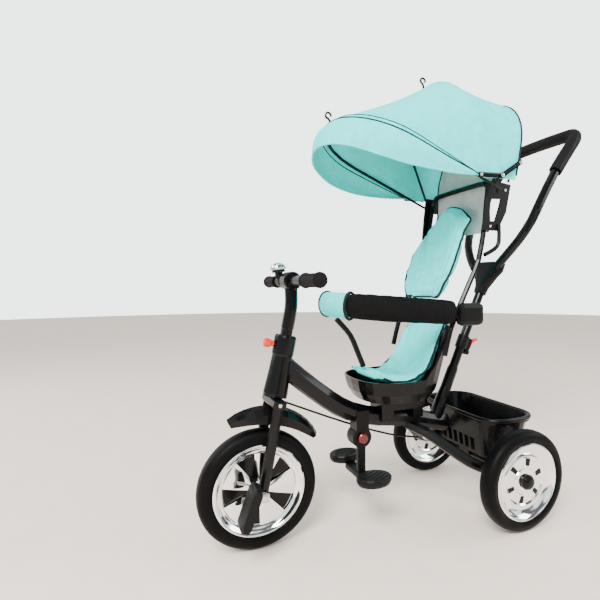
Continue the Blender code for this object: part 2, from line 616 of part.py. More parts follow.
def build_back():
    """A bent tube frame, the padded back and the grey panel behind it."""
    left = [(BACK_LEG_X, y, z) for y, z in BACK_ROUTE]
    top = [(0.104, 0.168, 0.802), (0.080, 0.168, 0.807)]
    right = [(-x, y, z) for x, y, z in (left + top)[::-1]]
    bar("back_frame", left + top + right, BACK_LEG_RADIUS, BLACK_PAINT, sides=8, steps=2,
        reference=(0, 1, 0.1))
    loops = []
    for step in range(9):
        t = step / 8
        z = 0.528 + 0.236 * t
        half = 0.104 * (1 - abs(2 * t - 0.72) ** 2.6 / (1.28 ** 2.6) * 0.62) if t > 0.36 else (
            0.104 * (0.68 + 0.32 * math.sin(math.pi * t / 0.72)))
        front, rear = [], []
        for index in range(9):
            across = -1 + index / 4
            fold = 0.046 * abs(across) ** 2.2 * math.sin(math.pi * min(t + 0.18, 1)) ** 0.8
            y = back_y(z) - 0.0085 - fold
            thick = 0.020 * (1 - 0.55 * across ** 4)
            front.append(Vector((half * across, y - thick, z)))
            rear.append(Vector((half * across, y, z)))
        loops.append(front + rear[::-1])
    bm = bmesh.new()
    loft(bm, loops)
    make_object("back_pad", bm, TURQUOISE)
    sheet = [(0.100, 0.1785, 0.680), (0.104, 0.1810, 0.800), (0.118, 0.205, 0.900), (0.118, 0.226, 0.970),
             (0.070, 0.2380, 1.004)]
    loops = []
    for half, y, z in [(a, b, c) for a, b, c in sheet]:
        loops.append([Vector((x, y + side, z)) for side, xs in
                      ((-0.001, (-half, 0, half)), (0.001, (half, 0, -half))) for x in xs])
    bm = bmesh.new()
    loft(bm, loops)
    make_object("back_panel", bm, GREY_CLOTH)


# ---------------------------------------------------------------- guard rail

def rail_height(y):
    """The rail's centre climbs a little towards the front."""
    return 0.494 + (0.128 - y) / (0.128 - RAIL_FRONT) * 0.023


def rail_route():
    """Centre line of the rail from its left end, round the front, to its right end."""
    side = [(RAIL_HALF, y) for y in (RAIL_REAR, 0.0500, 0.000, -0.060)]
    corner = []
    for step in range(1, 12):
        turn = math.pi * step / 12
        corner.append((RAIL_HALF * math.cos(turn), -0.080 - (abs(RAIL_FRONT) - 0.080) * math.sin(turn) ** 0.9))
    outline = side + corner + [(-x, y) for x, y in side[::-1]]
    return [Vector((x, y, rail_height(y))) for x, y in outline]


def sleeve(name, route, finish, tall):
    """A padded sleeve round part of the rail."""
    outer = sweep_loops(route, 0.019, tall, 12, (0, 0, 1))
    inner = sweep_loops(route, RAIL_RADIUS + 0.0008, RAIL_RADIUS + 0.0008, 12, (0, 0, 1))
    bm = bmesh.new()
    loft(bm, outer + inner[::-1], closed_ring=True)
    return make_object(name, bm, finish)


def build_guard_rail():
    """The U-shaped rail with its padded sleeves, end caps and the bar down to the seat."""
    route = rail_route()
    rail = bmesh.new()
    loft(rail, sweep_loops(route, RAIL_RADIUS, RAIL_RADIUS, 10, (0, 0, 1)))
    guard_rail = make_object("guard_rail", rail, BLACK_PAINT)
    last = len(route) - 1
    front_from = next(i for i, p in enumerate(route) if p.x < 0.066)
    front_to = last - front_from
    sleeve("rail_sleeve_left", trimmed(route[1:front_from + 1], 0, 0.003), BLACK_CLOTH, 0.028)
    sleeve("rail_sleeve_right", trimmed(route[front_to:last], 0.003, 0), BLACK_CLOTH, 0.028)
    sleeve("rail_sleeve_front", trimmed(route[front_from:front_to + 1], 0.003, 0.003), TURQUOISE, 0.029)
    for side, sign in (("left", 1), ("right", -1)):
        low = (sign * 0.149, 0.0607, rail_height(0.10) - 0.027)
        high = (sign * 0.1250, 0.130, rail_height(0.10) + 0.025)
        cap = block(f"rail_end_guide_{side}", [min(a, b) for a, b in zip(low, high)],
                    [max(a, b) for a, b in zip(low, high)], None, bevel=0.011)
        boolean(guard_rail, cap, "UNION")
    crotch = [(0, -0.109, 0.3700), (0, -0.122, 0.400), (0, -0.143, 0.445), (0, -0.177, 0.483)]
    crotch_bar = bar("crotch_bar", crotch, 0.008, BLACK_PLASTIC, half_up=0.0065, sides=10, steps=3,
                     reference=(0, 1, 0))
    return crotch_bar


def trimmed(route, start, end):
    """The route with its two ends drawn in by small distances."""
    route = [point.copy() for point in route]
    route[0] += (route[1] - route[0]).normalized() * start
    route[-1] += (route[-2] - route[-1]).normalized() * end
    return route


# ---------------------------------------------------------------- canopy

def fan(angle):
    """Unit direction in the YZ plane, by its angle from +Y towards +Z."""
    turn = math.radians(angle)
    return Vector((0, math.cos(turn), math.sin(turn)))


def u_points(foot, direction, start, reach, half, corner, steps=5):
    """A U from left to right: up a leg, round a corner, across the top, and down again."""
    leg = [(half, start), (half, start + (reach - corner - start) * 0.5), (half, reach - corner)]
    bend = [(half - corner + corner * math.cos(math.pi / 2 * i / steps),
             reach - corner + corner * math.sin(math.pi / 2 * i / steps)) for i in range(1, steps + 1)]
    left = leg + bend
    full = left + [(0.0, reach)] + [(-x, r) for x, r in left[::-1]]
    return [foot + direction * r + Vector((x, 0, 0)) for x, r in full]


def bow(name, foot, direction, start, reach, half, corner=BOW_CORNER):
    """A flat-bar bow."""
    normal = Vector((1, 0, 0)).cross(direction)
    route = u_points(foot, direction, start, reach, half, corner)
    bm = bmesh.new()
    loft(bm, sweep_loops(route, BOW_HALF_THICK, BOW_HALF_WIDE, 8, normal))
    return make_object(name, bm, BLACK_PAINT)


def fabric(name, rows, finish=TURQUOISE):
    """A thin closed sheet skinned through rows of points, thick on both sides of them."""
    bm = bmesh.new()
    grid = [[bm.verts.new(point) for point in row] for row in rows]
    for low, high in zip(grid, grid[1:]):
        for index in range(len(low) - 1):
            bm.faces.new((low[index], low[index + 1], high[index + 1], high[index]))
    bmesh.ops.recalc_face_normals(bm, faces=bm.faces)
    bm.normal_update()
    geometry = bm.faces[:]
    shift = {vert: vert.normal.copy() for vert in bm.verts}
    copied = bmesh.ops.duplicate(bm, geom=geometry)
    twin = copied["vert_map"]
    for vert, normal in shift.items():
        twin[vert].co = vert.co - normal * FABRIC_HALF_THICK
        vert.co = vert.co + normal * FABRIC_HALF_THICK
    border = [edge for row in bm.edges[:] for edge in (row,) if len(row.link_faces) == 1
              and row.verts[0] in shift]
    for edge in border:
        first, second = edge.verts
        bm.faces.new((first, second, twin[second], twin[first]))
    return make_object(name, bm, finish)


def outer_u(foot, direction, start, reach, corner=BOW_CORNER):
    """The line that the cloth takes over a bow."""
    lift = BOW_HALF_THICK + 0.0005 + FABRIC_HALF_THICK
    return u_points(foot, direction, start, reach + lift, FABRIC_X, corner + 0.006)


def build_canopy():
    """Side brackets, three bows, the cloth over them, the peak, links and hooks."""
    front_dir, middle_dir = fan(FRONT_BOW["angle"]), fan(MIDDLE_BOW["angle"])
    rear_dir = (REAR_BOW_TOP - REAR_BOW_FOOT).normalized()
    rear_reach = (REAR_BOW_TOP - REAR_BOW_FOOT).length
    bow("canopy_bow_front", FOLD_AXIS, front_dir, -0.006, FRONT_BOW["reach"], FRONT_BOW["half"])
    bow("canopy_bow_middle", FOLD_AXIS, middle_dir, -0.006, MIDDLE_BOW["reach"], MIDDLE_BOW["half"])
    bow("canopy_bow_rear", REAR_BOW_FOOT, rear_dir, 0.0, rear_reach, REAR_BOW_HALF, REAR_CORNER)
    front_row = outer_u(FOLD_AXIS, front_dir, 0.060, FRONT_BOW["reach"])
    middle_row = outer_u(FOLD_AXIS, middle_dir, 0.030, MIDDLE_BOW["reach"])
    rear_row = outer_u(REAR_BOW_FOOT, rear_dir, 0.0, rear_reach, REAR_CORNER)
    split = 0.026
    fabric("canopy_front_cloth", between(front_row, middle_row, 0.024, 1 - split, 4))
    fabric("canopy_rear_cloth", between(middle_row, rear_row, split + 0.006, 0.975, 4))
    build_peak(front_row, front_dir)
    build_brackets()
    build_links(front_dir)
    build_hooks(front_dir, middle_dir, rear_dir, rear_reach)


def between(first, second, start, stop, steps):
    """Rows of points from one row of points to another."""
    rows = []
    for step in range(steps + 1):
        t = start + (stop - start) * step / steps
        rows.append([a.lerp(b, t) for a, b in zip(first, second)])
    return rows


def build_peak(front_row, front_dir):
    """The soft peak in front: it hangs from the front bow and droops at its middle."""
    side = front_row[1:-1]
    count = len(side) - 1
    rows = []
    for step in range(4):
        t = step / 3
        row = []
        for index, point in enumerate(side):
            middle = math.sin(math.pi * index / count)
            drop = 0.034 + 0.040 * min(middle * 2.2, 1) - 0.010 * middle ** 4
            forward = 0.10 + 0.47 * middle ** 2
            direction = Vector((0, -forward, -math.sqrt(1 - forward * forward)))
            bulge = front_dir * 0.012 * math.sin(math.pi * t) * middle
            row.append(point + front_dir * 0.0 + direction * drop * t + bulge)
        rows.append(row)
    offset = Vector((0, -0.0030, -0.0036))
    fabric("canopy_peak", [[point + offset for point in row] for row in rows])


def build_brackets():
    """The windowed plate on each side that joins the canopy to the back frame."""
    outline = [(0.138, 0.690), (0.182, 0.690), (0.208, 0.735), (0.222, 0.802), (0.200, 0.8045), (0.150, 0.806),
               (0.143, 0.750)]
    window = [(0.160, 0.712), (0.174, 0.712), (0.186, 0.745), (0.192, 0.766), (0.164, 0.764), (0.158, 0.745)]
    for side, sign in (("left", 1), ("right", -1)):
        low, high = BRACKET_X
        bracket = plate(f"canopy_bracket_{side}", outline, low, high, BLACK_PLASTIC, sign)
        boolean(bracket, plate(f"window_guide_{side}", window, low - 0.01, high + 0.01, None, sign))
        brace = [(sign * 0.1305, 0.184, 0.705), (sign * 0.1315, 0.184, 0.664), (sign * 0.1315, 0.170, 0.646),
                 (sign * 0.1300, 0.142, 0.632)]
        guide = bar(f"brace_guide_{side}", brace, 0.0050, None, sides=8, reference=(1, 0, 0))
        boolean(bracket, guide, "UNION")


LINK_A = 0.0694
LINK_B = Vector((0, 0.163, 0.8110))
LINK_C = Vector((0, 0.2163, 0.846))


def build_links(front_dir):
    """Two flat links on each side that lock the canopy open."""
    hinge_a = FOLD_AXIS + front_dir * LINK_A
    for side, sign in (("left", 1), ("right", -1)):
        for name, start, stop, x in (("front", hinge_a, LINK_B, 0.1608), ("rear", LINK_C, LINK_B, 0.1645)):
            ends = [start + Vector((sign * x, 0, 0)), stop + Vector((sign * x, 0, 0))]
            along = (ends[1] - ends[0]).normalized()
            ends = [ends[0] - along * 0.006, ends[1] + along * 0.006]
            link = bar(f"canopy_link_{name}_{side}", ends, 0.0013, BLACK_PAINT, half_up=0.006, sides=8, steps=1,
                       reference=along.cross(Vector((1, 0, 0))))
            set_origin(link, start + Vector((sign * x, 0, 0)))


def build_hooks(front_dir, middle_dir, rear_dir, rear_reach):
    """A small wire loop on the crown of each bow."""
    lift = BOW_HALF_THICK + 0.0005 + 2 * FABRIC_HALF_THICK + 0.0025
    crowns = {"front": (FOLD_AXIS + front_dir * (FRONT_BOW["reach"] + lift), front_dir),
              "middle": (FOLD_AXIS + middle_dir * (MIDDLE_BOW["reach"] + lift), middle_dir),
              "rear": (REAR_BOW_FOOT + rear_dir * (rear_reach + lift), rear_dir)}
    for name, (point, direction) in crowns.items():
        up = Vector((0, direction.y * 0.35, 1)).normalized()
        back = Vector((1, 0, 0)).cross(up)
        loop = [point + up * 0.016 + (back * math.sin(turn) - up * math.cos(turn)) * 0.0068
                for turn in [math.radians(20 + 40 * i) for i in range(8)]]
        stem = [point - direction * (lift + 0.0004), point - direction * 0.001, point + up * 0.004]
        hook = bar(f"hook_guide_{name}", stem + loop, 0.0025, None, sides=6, steps=1, reference=(1, 0, 0))
        boolean(bpy.data.objects[f"canopy_bow_{name}"], hook, "UNION")


# ---------------------------------------------------------------- push pole and handle

def build_push_pole():
    """Turning shaft with a lever, pole tube, height latch and handle."""
    shaft = rod("steering_shaft", SHAFT_RADIUS, LEVER_DEPTH - 0.004, 0.170, STEEL, POLE, 16)
    lever = block("lever_guide", (-LINK_ARM - 0.009, -0.008, LEVER_DEPTH), (0.0, 0.008, LEVER_DEPTH + 0.005),
                  None, POLE)
    boss = rod("boss_guide", 0.0125, LEVER_DEPTH - 0.003, LEVER_DEPTH + 0.008, None, POLE, 16)
    boolean(shaft, lever, "UNION")
    boolean(shaft, boss, "UNION")
    bore = SHAFT_RADIUS + GAP
    tube = [(bore, POLE_RING), (POLE_RADIUS + 0.0015, POLE_RING), (POLE_RADIUS + 0.0015, POLE_RING + 0.006),
            (POLE_RADIUS, POLE_RING + 0.007), (POLE_RADIUS, POLE_TOP), (bore, POLE_TOP)]
    turned("pole_tube", tube, BLACK_PAINT, POLE, 20)
    band = [(0, 0.170), (0.0150, 0.170), (0.0150, 0.204), (0, 0.204)]
    latch_band = turned("latch_band", band, BLACK_PLASTIC, POLE, 20)
    ears = block("ears_guide", (-0.008, 0.0110, 0.1715), (0.008, 0.0240, 0.2025), None, POLE)
    boolean(ears, block("ears_room", (-0.0048, 0.0162, 0.16), (0.0048, 0.04, 0.22), None, POLE))
    boolean(latch_band, ears, "UNION")
    roller_place = POLE @ Matrix.Translation((0, 0.0195, 0.1655)) @ Matrix.Rotation(math.radians(90), 4, "Y")
    boolean(latch_band, rod("roller_guide", 0.0065, -0.0095, 0.0095, None, roller_place), "UNION")
    boolean(latch_band, rod("band_bore_guide", POLE_RADIUS + GAP, 0.15, 0.22, None, POLE, 20))
    lever_outline = [(0.0185, 0.1795), (0.0275, 0.176), (0.0300, 0.196), (0.0420, 0.207), (0.0400, 0.212),
                     (0.0255, 0.202), (0.0168, 0.202)]
    bm = bmesh.new()
    loft(bm, [[(x, y, z) for y, z in lever_outline] for x in (-0.0045, 0.0045)])
    latch = make_object("height_latch", bm, RED_PLASTIC, POLE, smooth=False)
    set_origin(latch, POLE @ Vector((0, 0.0215, 0.186)))
    build_handle()


def handle_points():
    """Centre line of the U-shaped handle, from the left foot over the top to the right."""
    left = [(0.042, 0.2560, 0.6080), (0.066, 0.2620, 0.6330), (0.098, 0.2780, 0.6740), (0.117, 0.3010, 0.7210),
            (HANDLE_HALF, 0.3310, 0.7760), (HANDLE_HALF, 0.3790, 0.8530), (HANDLE_HALF, 0.4270, 0.9160),
            (0.114, 0.4560, 0.9480), (0.098, HANDLE_REAR - 0.002, 0.9640), (0.070, HANDLE_REAR, 0.9670)]
    return left + [(0, HANDLE_REAR, 0.9680)] + [(-x, y, z) for x, y, z in left[::-1]]


def build_handle():
    """The sliding handle: stem, forked joint, U tube and foam grip."""
    stations = [(POLE_TOP + 0.0005, 0.0150, 0.0150, 0.0), (POLE_TOP + 0.020, 0.0175, 0.0165, 0.0),
                (POLE_TOP + 0.045, 0.0360, 0.0170, 0.0), (POLE_TOP + 0.066, 0.0560, 0.0165, -0.001),
                (POLE_TOP + 0.086, 0.0600, 0.0145, -0.004)]
    loops = []
    for z, half_x, half_y, shift in stations:
        turns = [2 * math.pi * index / 16 for index in range(16)]
        loops.append([(half_x * math.copysign(abs(math.cos(turn)) ** 0.8, math.cos(turn)),
                       shift + half_y * math.copysign(abs(math.sin(turn)) ** 0.8, math.sin(turn)), z)
                      for turn in turns])
    bm = bmesh.new()
    loft(bm, loops)
    joint = make_object("handle_joint", bm, BLACK_PLASTIC, POLE)
    boolean(joint, rod("inner_guide", SHAFT_RADIUS, 0.1710, POLE_TOP + 0.012, None, POLE, 16), "UNION")
    route = smooth_route(handle_points(), 2)
    grow = bmesh.new()
    longer = trimmed(route, -0.0008, -0.0008)
    loft(grow, sweep_loops(longer, HANDLE_TUBE_RADIUS + GAP, HANDLE_TUBE_RADIUS + GAP, 10, (0, 1, 0.1)))
    boolean(joint, make_object("tube_guide", grow, None))
    tube = bmesh.new()
    loft(tube, sweep_loops(route, HANDLE_TUBE_RADIUS, HANDLE_TUBE_RADIUS, 10, (0, 1, 0.1)))
    make_object("handle_tube", tube, BLACK_PAINT)
    covered = [point for point in route if point.z > 0.850]
    foam = bmesh.new()
    outer = sweep_loops(covered, FOAM_RADIUS, FOAM_RADIUS, 12, (0, 1, 0.1))
    inner = sweep_loops(covered, HANDLE_TUBE_RADIUS + 0.0015, HANDLE_TUBE_RADIUS + 0.0015, 12, (0, 1, 0.1))
    loft(foam, outer + inner[::-1], closed_ring=True)
    make_object("handle_foam", foam, BLACK_RUBBER)


def build_steering_rod():
    """The thin rod under the frame that joins the shaft's lever to the fork's lug."""
    front = STEERING @ Vector((-LINK_ARM, 0.026, 0.1815))
    rear = POLE @ Vector((-LINK_ARM, -0.004, LEVER_DEPTH - 0.0085))
    route = [front, Vector((-LINK_ARM, -0.145, 0.232)), Vector((-LINK_ARM, -0.020, 0.185)), rear]
    steering_rod = bar("steering_rod", route, 0.0026, BLACK_PAINT, sides=8, steps=3, reference=(1, 0, 0))
    set_origin(steering_rod, STEERING @ Vector((-LINK_ARM, 0.026, 0.19)))


# ---------------------------------------------------------------- basket

def basket_ring(z, spread, inset):
    """A rounded rectangle of the basket at a height."""
    half_x = BASKET_HALF + spread - inset
    low_y, high_y = BASKET_FRONT - spread * 0.6 + inset, BASKET_REAR + spread - inset
    corner = BASKET_CORNER + spread - inset
    points = []
    for centre_x, centre_y, start in ((half_x - corner, high_y - corner, 0), (-half_x + corner, high_y - corner, 90),
                                      (-half_x + corner, low_y + corner, 180), (half_x - corner, low_y + corner, 270)):
        for step in range(6):
            turn = math.radians(start + 18 * step)
            points.append((centre_x + corner * math.cos(turn), centre_y + corner * math.sin(turn), z))
    return points


def build_basket():
    """An open moulded basket with a rolled rim and slots low in its front wall."""
    taper = -0.022
    rows = [(BASKET_FLOOR, taper, 0), (BASKET_TOP - 0.010, 0, 0), (BASKET_TOP - 0.011, 0.007, 0),
            (BASKET_TOP - 0.002, 0.008, 0), (BASKET_TOP, 0.005, 0), (BASKET_TOP, 0.0, BASKET_WALL), (BASKET_FLOOR + BASKET_WALL, taper, BASKET_WALL)]
    bm = bmesh.new()
    loft(bm, [basket_ring(*row) for row in rows])
    basket = make_object("basket", bm, BLACK_PLASTIC)
    slots = bmesh.new()
    for index in range(7):
        x = -0.069 + 0.023 * index
        corners = [(x - 0.0075, BASKET_FLOOR + 0.008), (x + 0.0075, BASKET_FLOOR + 0.008),
                   (x + 0.0075, BASKET_FLOOR + 0.040), (x - 0.0075, BASKET_FLOOR + 0.040)]
        loft(slots, [[(a, y, z) for a, z in corners] for y in (BASKET_FRONT - 0.02, BASKET_FRONT + 0.035)])
    boolean(basket, make_object("slot_guide", slots, None))

clear_scene()
build_frame()
build_fork()
build_wheels()
build_footrest()
build_seat()
build_guard_rail()
build_canopy()
build_push_pole()
build_steering_rod()
build_basket()
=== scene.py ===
# %% [markdown]
# # A child's push tricycle with a folding canopy
#
# The rigid model arrives ready made, as named parts on named moving bodies.  This lesson dresses it:
# cloth, pads, tyres and plated wheels are modelled here, and the painted and moulded parts get their
# finishes.  Everything is in metres, with the floor at z = 0 and the rider looking along -Y.

# %% Load the rigid model
import json
import math

import bmesh
import bpy
from mathutils import Matrix, Vector, noise

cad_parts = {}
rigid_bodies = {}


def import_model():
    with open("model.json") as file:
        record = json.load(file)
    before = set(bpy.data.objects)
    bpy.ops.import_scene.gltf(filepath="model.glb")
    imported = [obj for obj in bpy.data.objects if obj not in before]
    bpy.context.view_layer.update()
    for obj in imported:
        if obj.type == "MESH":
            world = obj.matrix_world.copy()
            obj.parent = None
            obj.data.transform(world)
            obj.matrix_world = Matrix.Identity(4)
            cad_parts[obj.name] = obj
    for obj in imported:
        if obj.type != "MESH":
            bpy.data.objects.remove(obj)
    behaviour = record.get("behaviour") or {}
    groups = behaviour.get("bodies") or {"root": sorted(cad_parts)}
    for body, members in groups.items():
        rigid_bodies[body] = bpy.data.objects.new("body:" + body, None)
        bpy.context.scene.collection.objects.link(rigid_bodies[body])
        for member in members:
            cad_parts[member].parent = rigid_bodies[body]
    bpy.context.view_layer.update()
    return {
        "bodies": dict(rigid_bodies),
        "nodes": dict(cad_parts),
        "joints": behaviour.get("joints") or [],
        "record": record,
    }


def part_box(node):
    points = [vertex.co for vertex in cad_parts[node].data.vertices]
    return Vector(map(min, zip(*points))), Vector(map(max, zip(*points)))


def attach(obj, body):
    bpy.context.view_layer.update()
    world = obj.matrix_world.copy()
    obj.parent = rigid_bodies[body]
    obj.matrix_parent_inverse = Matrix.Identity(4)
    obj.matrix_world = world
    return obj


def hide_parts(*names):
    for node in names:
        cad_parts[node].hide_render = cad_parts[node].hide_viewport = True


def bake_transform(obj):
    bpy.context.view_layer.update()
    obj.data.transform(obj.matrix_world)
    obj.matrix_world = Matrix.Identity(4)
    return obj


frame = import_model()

nodes = frame["nodes"]

# %% [markdown]
# ## Camera, floor and light
#
# The camera stands low, to the front and left of the rider, so the front wheel is nearest.  A small
# sideways shift of the lens keeps the tricycle right of centre without turning the camera.  The floor
# is one large plain sheet.  Black paint and plating only look right with something to reflect, so the
# light comes from a few large soft panels rather than from many small lamps.

# %% Set the camera
VIEW_AZIMUTH = math.radians(64.567)
VIEW_RISE = math.radians(1.668)
backwards = Vector((math.sin(VIEW_AZIMUTH) * math.cos(VIEW_RISE),
                    -math.cos(VIEW_AZIMUTH) * math.cos(VIEW_RISE), math.sin(VIEW_RISE)))
rightwards = Vector((math.cos(VIEW_AZIMUTH), math.sin(VIEW_AZIMUTH), 0))
lens = bpy.data.cameras.new("camera")
lens.lens, lens.sensor_width, lens.shift_x = 27.42, 36.0, -0.1
camera = bpy.data.objects.new("camera", lens)
camera.matrix_world = Matrix.Translation((0.9707, -0.5791, 0.5578)) @ Matrix(
    (rightwards, backwards.cross(rightwards), backwards)).transposed().to_4x4()
bpy.context.scene.collection.objects.link(camera)
bpy.context.scene.camera = camera
print("camera at", [round(value, 3) for value in camera.location])


# %% Node helpers
def new_material(name, colour, rough, metal=0.0, **sockets):
    """A Principled material with constant values on its own sockets."""
    material = bpy.data.materials.new(name)
    material.use_nodes = True
    shader = material.node_tree.nodes["Principled BSDF"]
    shader.inputs["Base Color"].default_value = (*colour, 1)
    shader.inputs["Roughness"].default_value = rough
    shader.inputs["Metallic"].default_value = metal
    for socket, value in sockets.items():
        shader.inputs[socket.replace("_", " ")].default_value = value
    return material


def add(tree, kind, **settings):
    """A new node; settings named in_X set its inputs, the others its own options."""
    node = tree.nodes.new(kind)
    for key, value in settings.items():
        if key.startswith("in_"):
            node.inputs[key[3:].replace("_", " ")].default_value = value
        else:
            setattr(node, key, value)
    return node


def new_group(name, inputs, outputs):
    """An empty shader node group with its inputs, given as (name, default), and outputs."""
    group = bpy.data.node_groups.new(name, "ShaderNodeTree")
    for label, default in inputs:
        socket = group.interface.new_socket(label, in_out="INPUT", socket_type="NodeSocketFloat")
        socket.default_value = default
    for label in outputs:
        group.interface.new_socket(label, in_out="OUTPUT", socket_type="NodeSocketFloat")
    return group, group.nodes.new("NodeGroupInput"), group.nodes.new("NodeGroupOutput")


# %% [markdown]
# ## Shared surface effects
#
# Two effects come back in many finishes, so each is a node group that only puts out masks and
# heights: a fine moulded grain with broad patches that make gloss vary, and a weave of two crossing
# thread directions.  Each material mixes its own colours from those masks.

# %% Build the grain and weave groups
def build_grain():
    """Fine random grain, and a broad slow variation of the same surface."""
    group, start, end = new_group("Moulded grain", [("Scale", 900.0)], ["Grain", "Patches"])
    where = add(group, "ShaderNodeTexCoord")
    fine = add(group, "ShaderNodeTexNoise", in_Detail=3.0, in_Roughness=0.6)
    broad = add(group, "ShaderNodeTexNoise", in_Scale=14.0, in_Detail=3.0)
    group.links.new(where.outputs["Object"], fine.inputs["Vector"])
    group.links.new(where.outputs["Object"], broad.inputs["Vector"])
    group.links.new(start.outputs["Scale"], fine.inputs["Scale"])
    group.links.new(fine.outputs["Fac"], end.inputs["Grain"])
    group.links.new(broad.outputs["Fac"], end.inputs["Patches"])
    return group


def build_weave():
    """Two crossing sets of threads, with a slow slub along them, whose noise also sets where cloth takes its painted
    shade tint.
    """
    group, start, end = new_group("Crossing threads", [("Scale", 420.0)], ["Height", "Slub and painted shade"])
    where = add(group, "ShaderNodeTexCoord")
    turn = add(group, "ShaderNodeMapping")
    turn.inputs["Rotation"].default_value = (0.5, 0.35, 0.2)
    group.links.new(where.outputs["Object"], turn.inputs["Vector"])
    warp = add(group, "ShaderNodeTexWave", bands_direction="X", in_Distortion=0.6)
    weft = add(group, "ShaderNodeTexWave", bands_direction="Z", in_Distortion=0.6)
    for wave in (warp, weft):
        group.links.new(turn.outputs["Vector"], wave.inputs["Vector"])
        group.links.new(start.outputs["Scale"], wave.inputs["Scale"])
    cross = add(group, "ShaderNodeMath", operation="MAXIMUM")
    group.links.new(warp.outputs["Fac"], cross.inputs[0])
    group.links.new(weft.outputs["Fac"], cross.inputs[1])
    slub = add(group, "ShaderNodeTexNoise", in_Scale=38.0, in_Detail=5.0, in_Roughness=0.65)
    group.links.new(where.outputs["Object"], slub.inputs["Vector"])
    group.links.new(cross.outputs["Value"], end.inputs["Height"])
    group.links.new(slub.outputs["Fac"], end.inputs["Slub and painted shade"])
    return group


moulded_grain, crossing_threads = build_grain(), build_weave()
print("effects:", moulded_grain.name, "and", crossing_threads.name)


# %% Finishes from the effects
def put_group(tree, group, scale):
    """One use of an effect, at a scale."""
    node = add(tree, "ShaderNodeGroup", node_tree=group)
    node.inputs["Scale"].default_value = scale
    return node


def link_bump(tree, shader, height, distance, strength=1.0):
    """Turn a height into the shader's normal."""
    bump = add(tree, "ShaderNodeBump", in_Distance=distance, in_Strength=strength)
    tree.links.new(height, bump.inputs["Height"])
    tree.links.new(bump.outputs["Normal"], shader.inputs["Normal"])


def ramp(tree, value, low, high, socket, limits=(0.3, 0.7)):
    """Map a mask between two colours, or two grey levels, into a socket."""
    band = add(tree, "ShaderNodeValToRGB")
    band.color_ramp.elements[0].position, band.color_ramp.elements[1].position = limits
    band.color_ramp.elements[0].color = (*low, 1)
    band.color_ramp.elements[1].color = (*high, 1)
    tree.links.new(value, band.inputs["Fac"])
    tree.links.new(band.outputs["Color"], socket)


def grained(name, colour, rough, metal=0.0, scale=900.0, depth=0.00006, spread=0.08, lift=1.6, **sockets):
    """Paint or plastic: grain in its normal, and gloss that varies with handling."""
    material = new_material(name, colour, rough, metal, **sockets)
    tree = material.node_tree
    shader = tree.nodes["Principled BSDF"]
    effect = put_group(tree, moulded_grain, scale)
    link_bump(tree, shader, effect.outputs["Grain"], depth)
    ramp(tree, effect.outputs["Patches"], (rough - spread,) * 3, (rough + spread,) * 3, shader.inputs["Roughness"])
    ramp(tree, effect.outputs["Patches"], colour, tuple(min(value * lift, 1) for value in colour),
         shader.inputs["Base Color"])
    return material


def woven(name, shade, light, scale=420.0, depth=0.00022, rough=0.85, **sockets):
    """Cloth: threads in its normal, and a slow slub drift between a shade tint and a light tint, which paints random
    patches of shade.
    """
    material = new_material(name, light, rough, **sockets)
    tree = material.node_tree
    shader = tree.nodes["Principled BSDF"]
    effect = put_group(tree, crossing_threads, scale)
    link_bump(tree, shader, effect.outputs["Height"], depth, 0.5)
    ramp(tree, effect.outputs["Slub and painted shade"], shade, light, shader.inputs["Base Color"], (0.25, 0.75))
    return material


black_paint = grained("black paint", (0.0018, 0.0018, 0.0022), 0.24, scale=500, depth=0.00002, lift=1.3,
                      Coat_Weight=0.12, Coat_Roughness=0.07, Specular_IOR_Level=0.15)
gloss_black = grained("gloss black plastic", (0.0018, 0.0018, 0.0022), 0.24, depth=0.00002, spread=0.05, lift=1.3,
                      Coat_Weight=0.10, Coat_Roughness=0.08, Specular_IOR_Level=0.14)
satin_black = grained("satin black plastic", (0.002, 0.002, 0.0024), 0.42, scale=1400, depth=0.00005, lift=1.3,
                      Specular_IOR_Level=0.16)
foam_black = grained("closed-cell foam", (0.0018, 0.0018, 0.002), 0.62, scale=1600, depth=0.00025, lift=1.6,
                     Specular_IOR_Level=0.16)
plated = grained("bright plating", (0.93, 0.94, 0.95), 0.07, 1.0, scale=60, depth=0.00001, spread=0.03, lift=1.02)
bare_steel = grained("zinc-plated steel", (0.62, 0.62, 0.61), 0.28, 1.0, scale=300, depth=0.00002, lift=1.1)
red_plastic = grained("red plastic", (0.70, 0.015, 0.010), 0.3, depth=0.00003, lift=1.15)
dark_red = grained("dark red plastic", (0.12, 0.004, 0.004), 0.3, depth=0.00003, lift=1.15)
# The turquoise cloth's two tints are its shaded and its lit colour, so its slub drift is painted shade in random
# patches.
turquoise = woven("turquoise cloth", (0.026, 0.72, 0.71), (0.055, 0.90, 0.89), Sheen_Weight=0.02,
                  Sheen_Roughness=0.4, Specular_IOR_Level=0.2)
teal_piping = woven("dark piping", (0.004, 0.010, 0.012), (0.009, 0.018, 0.021), scale=900, rough=0.6,
                    Specular_IOR_Level=0.2)
sleeve_cloth = woven("black sleeve cloth", (0.0012, 0.0012, 0.0015), (0.003, 0.003, 0.0035), scale=520, depth=0.0004,
                     rough=0.78, Specular_IOR_Level=0.12)
grey_net = woven("grey netting", (0.44, 0.45, 0.46), (0.60, 0.61, 0.62), scale=300, depth=0.0005, rough=0.8,
                 Specular_IOR_Level=0.2)
print(len(bpy.data.materials), "materials")


# %% [markdown]
# ### Tyre rubber
#
# A tyre's blocks run round the wheel, so the pattern needs the angle about the axle.  Object
# coordinates, moved to the hub by a Mapping node, give it: the arc tangent of two of them is the
# angle, and two slanted sine waves cut it into small lozenges on the tread and its shoulders.

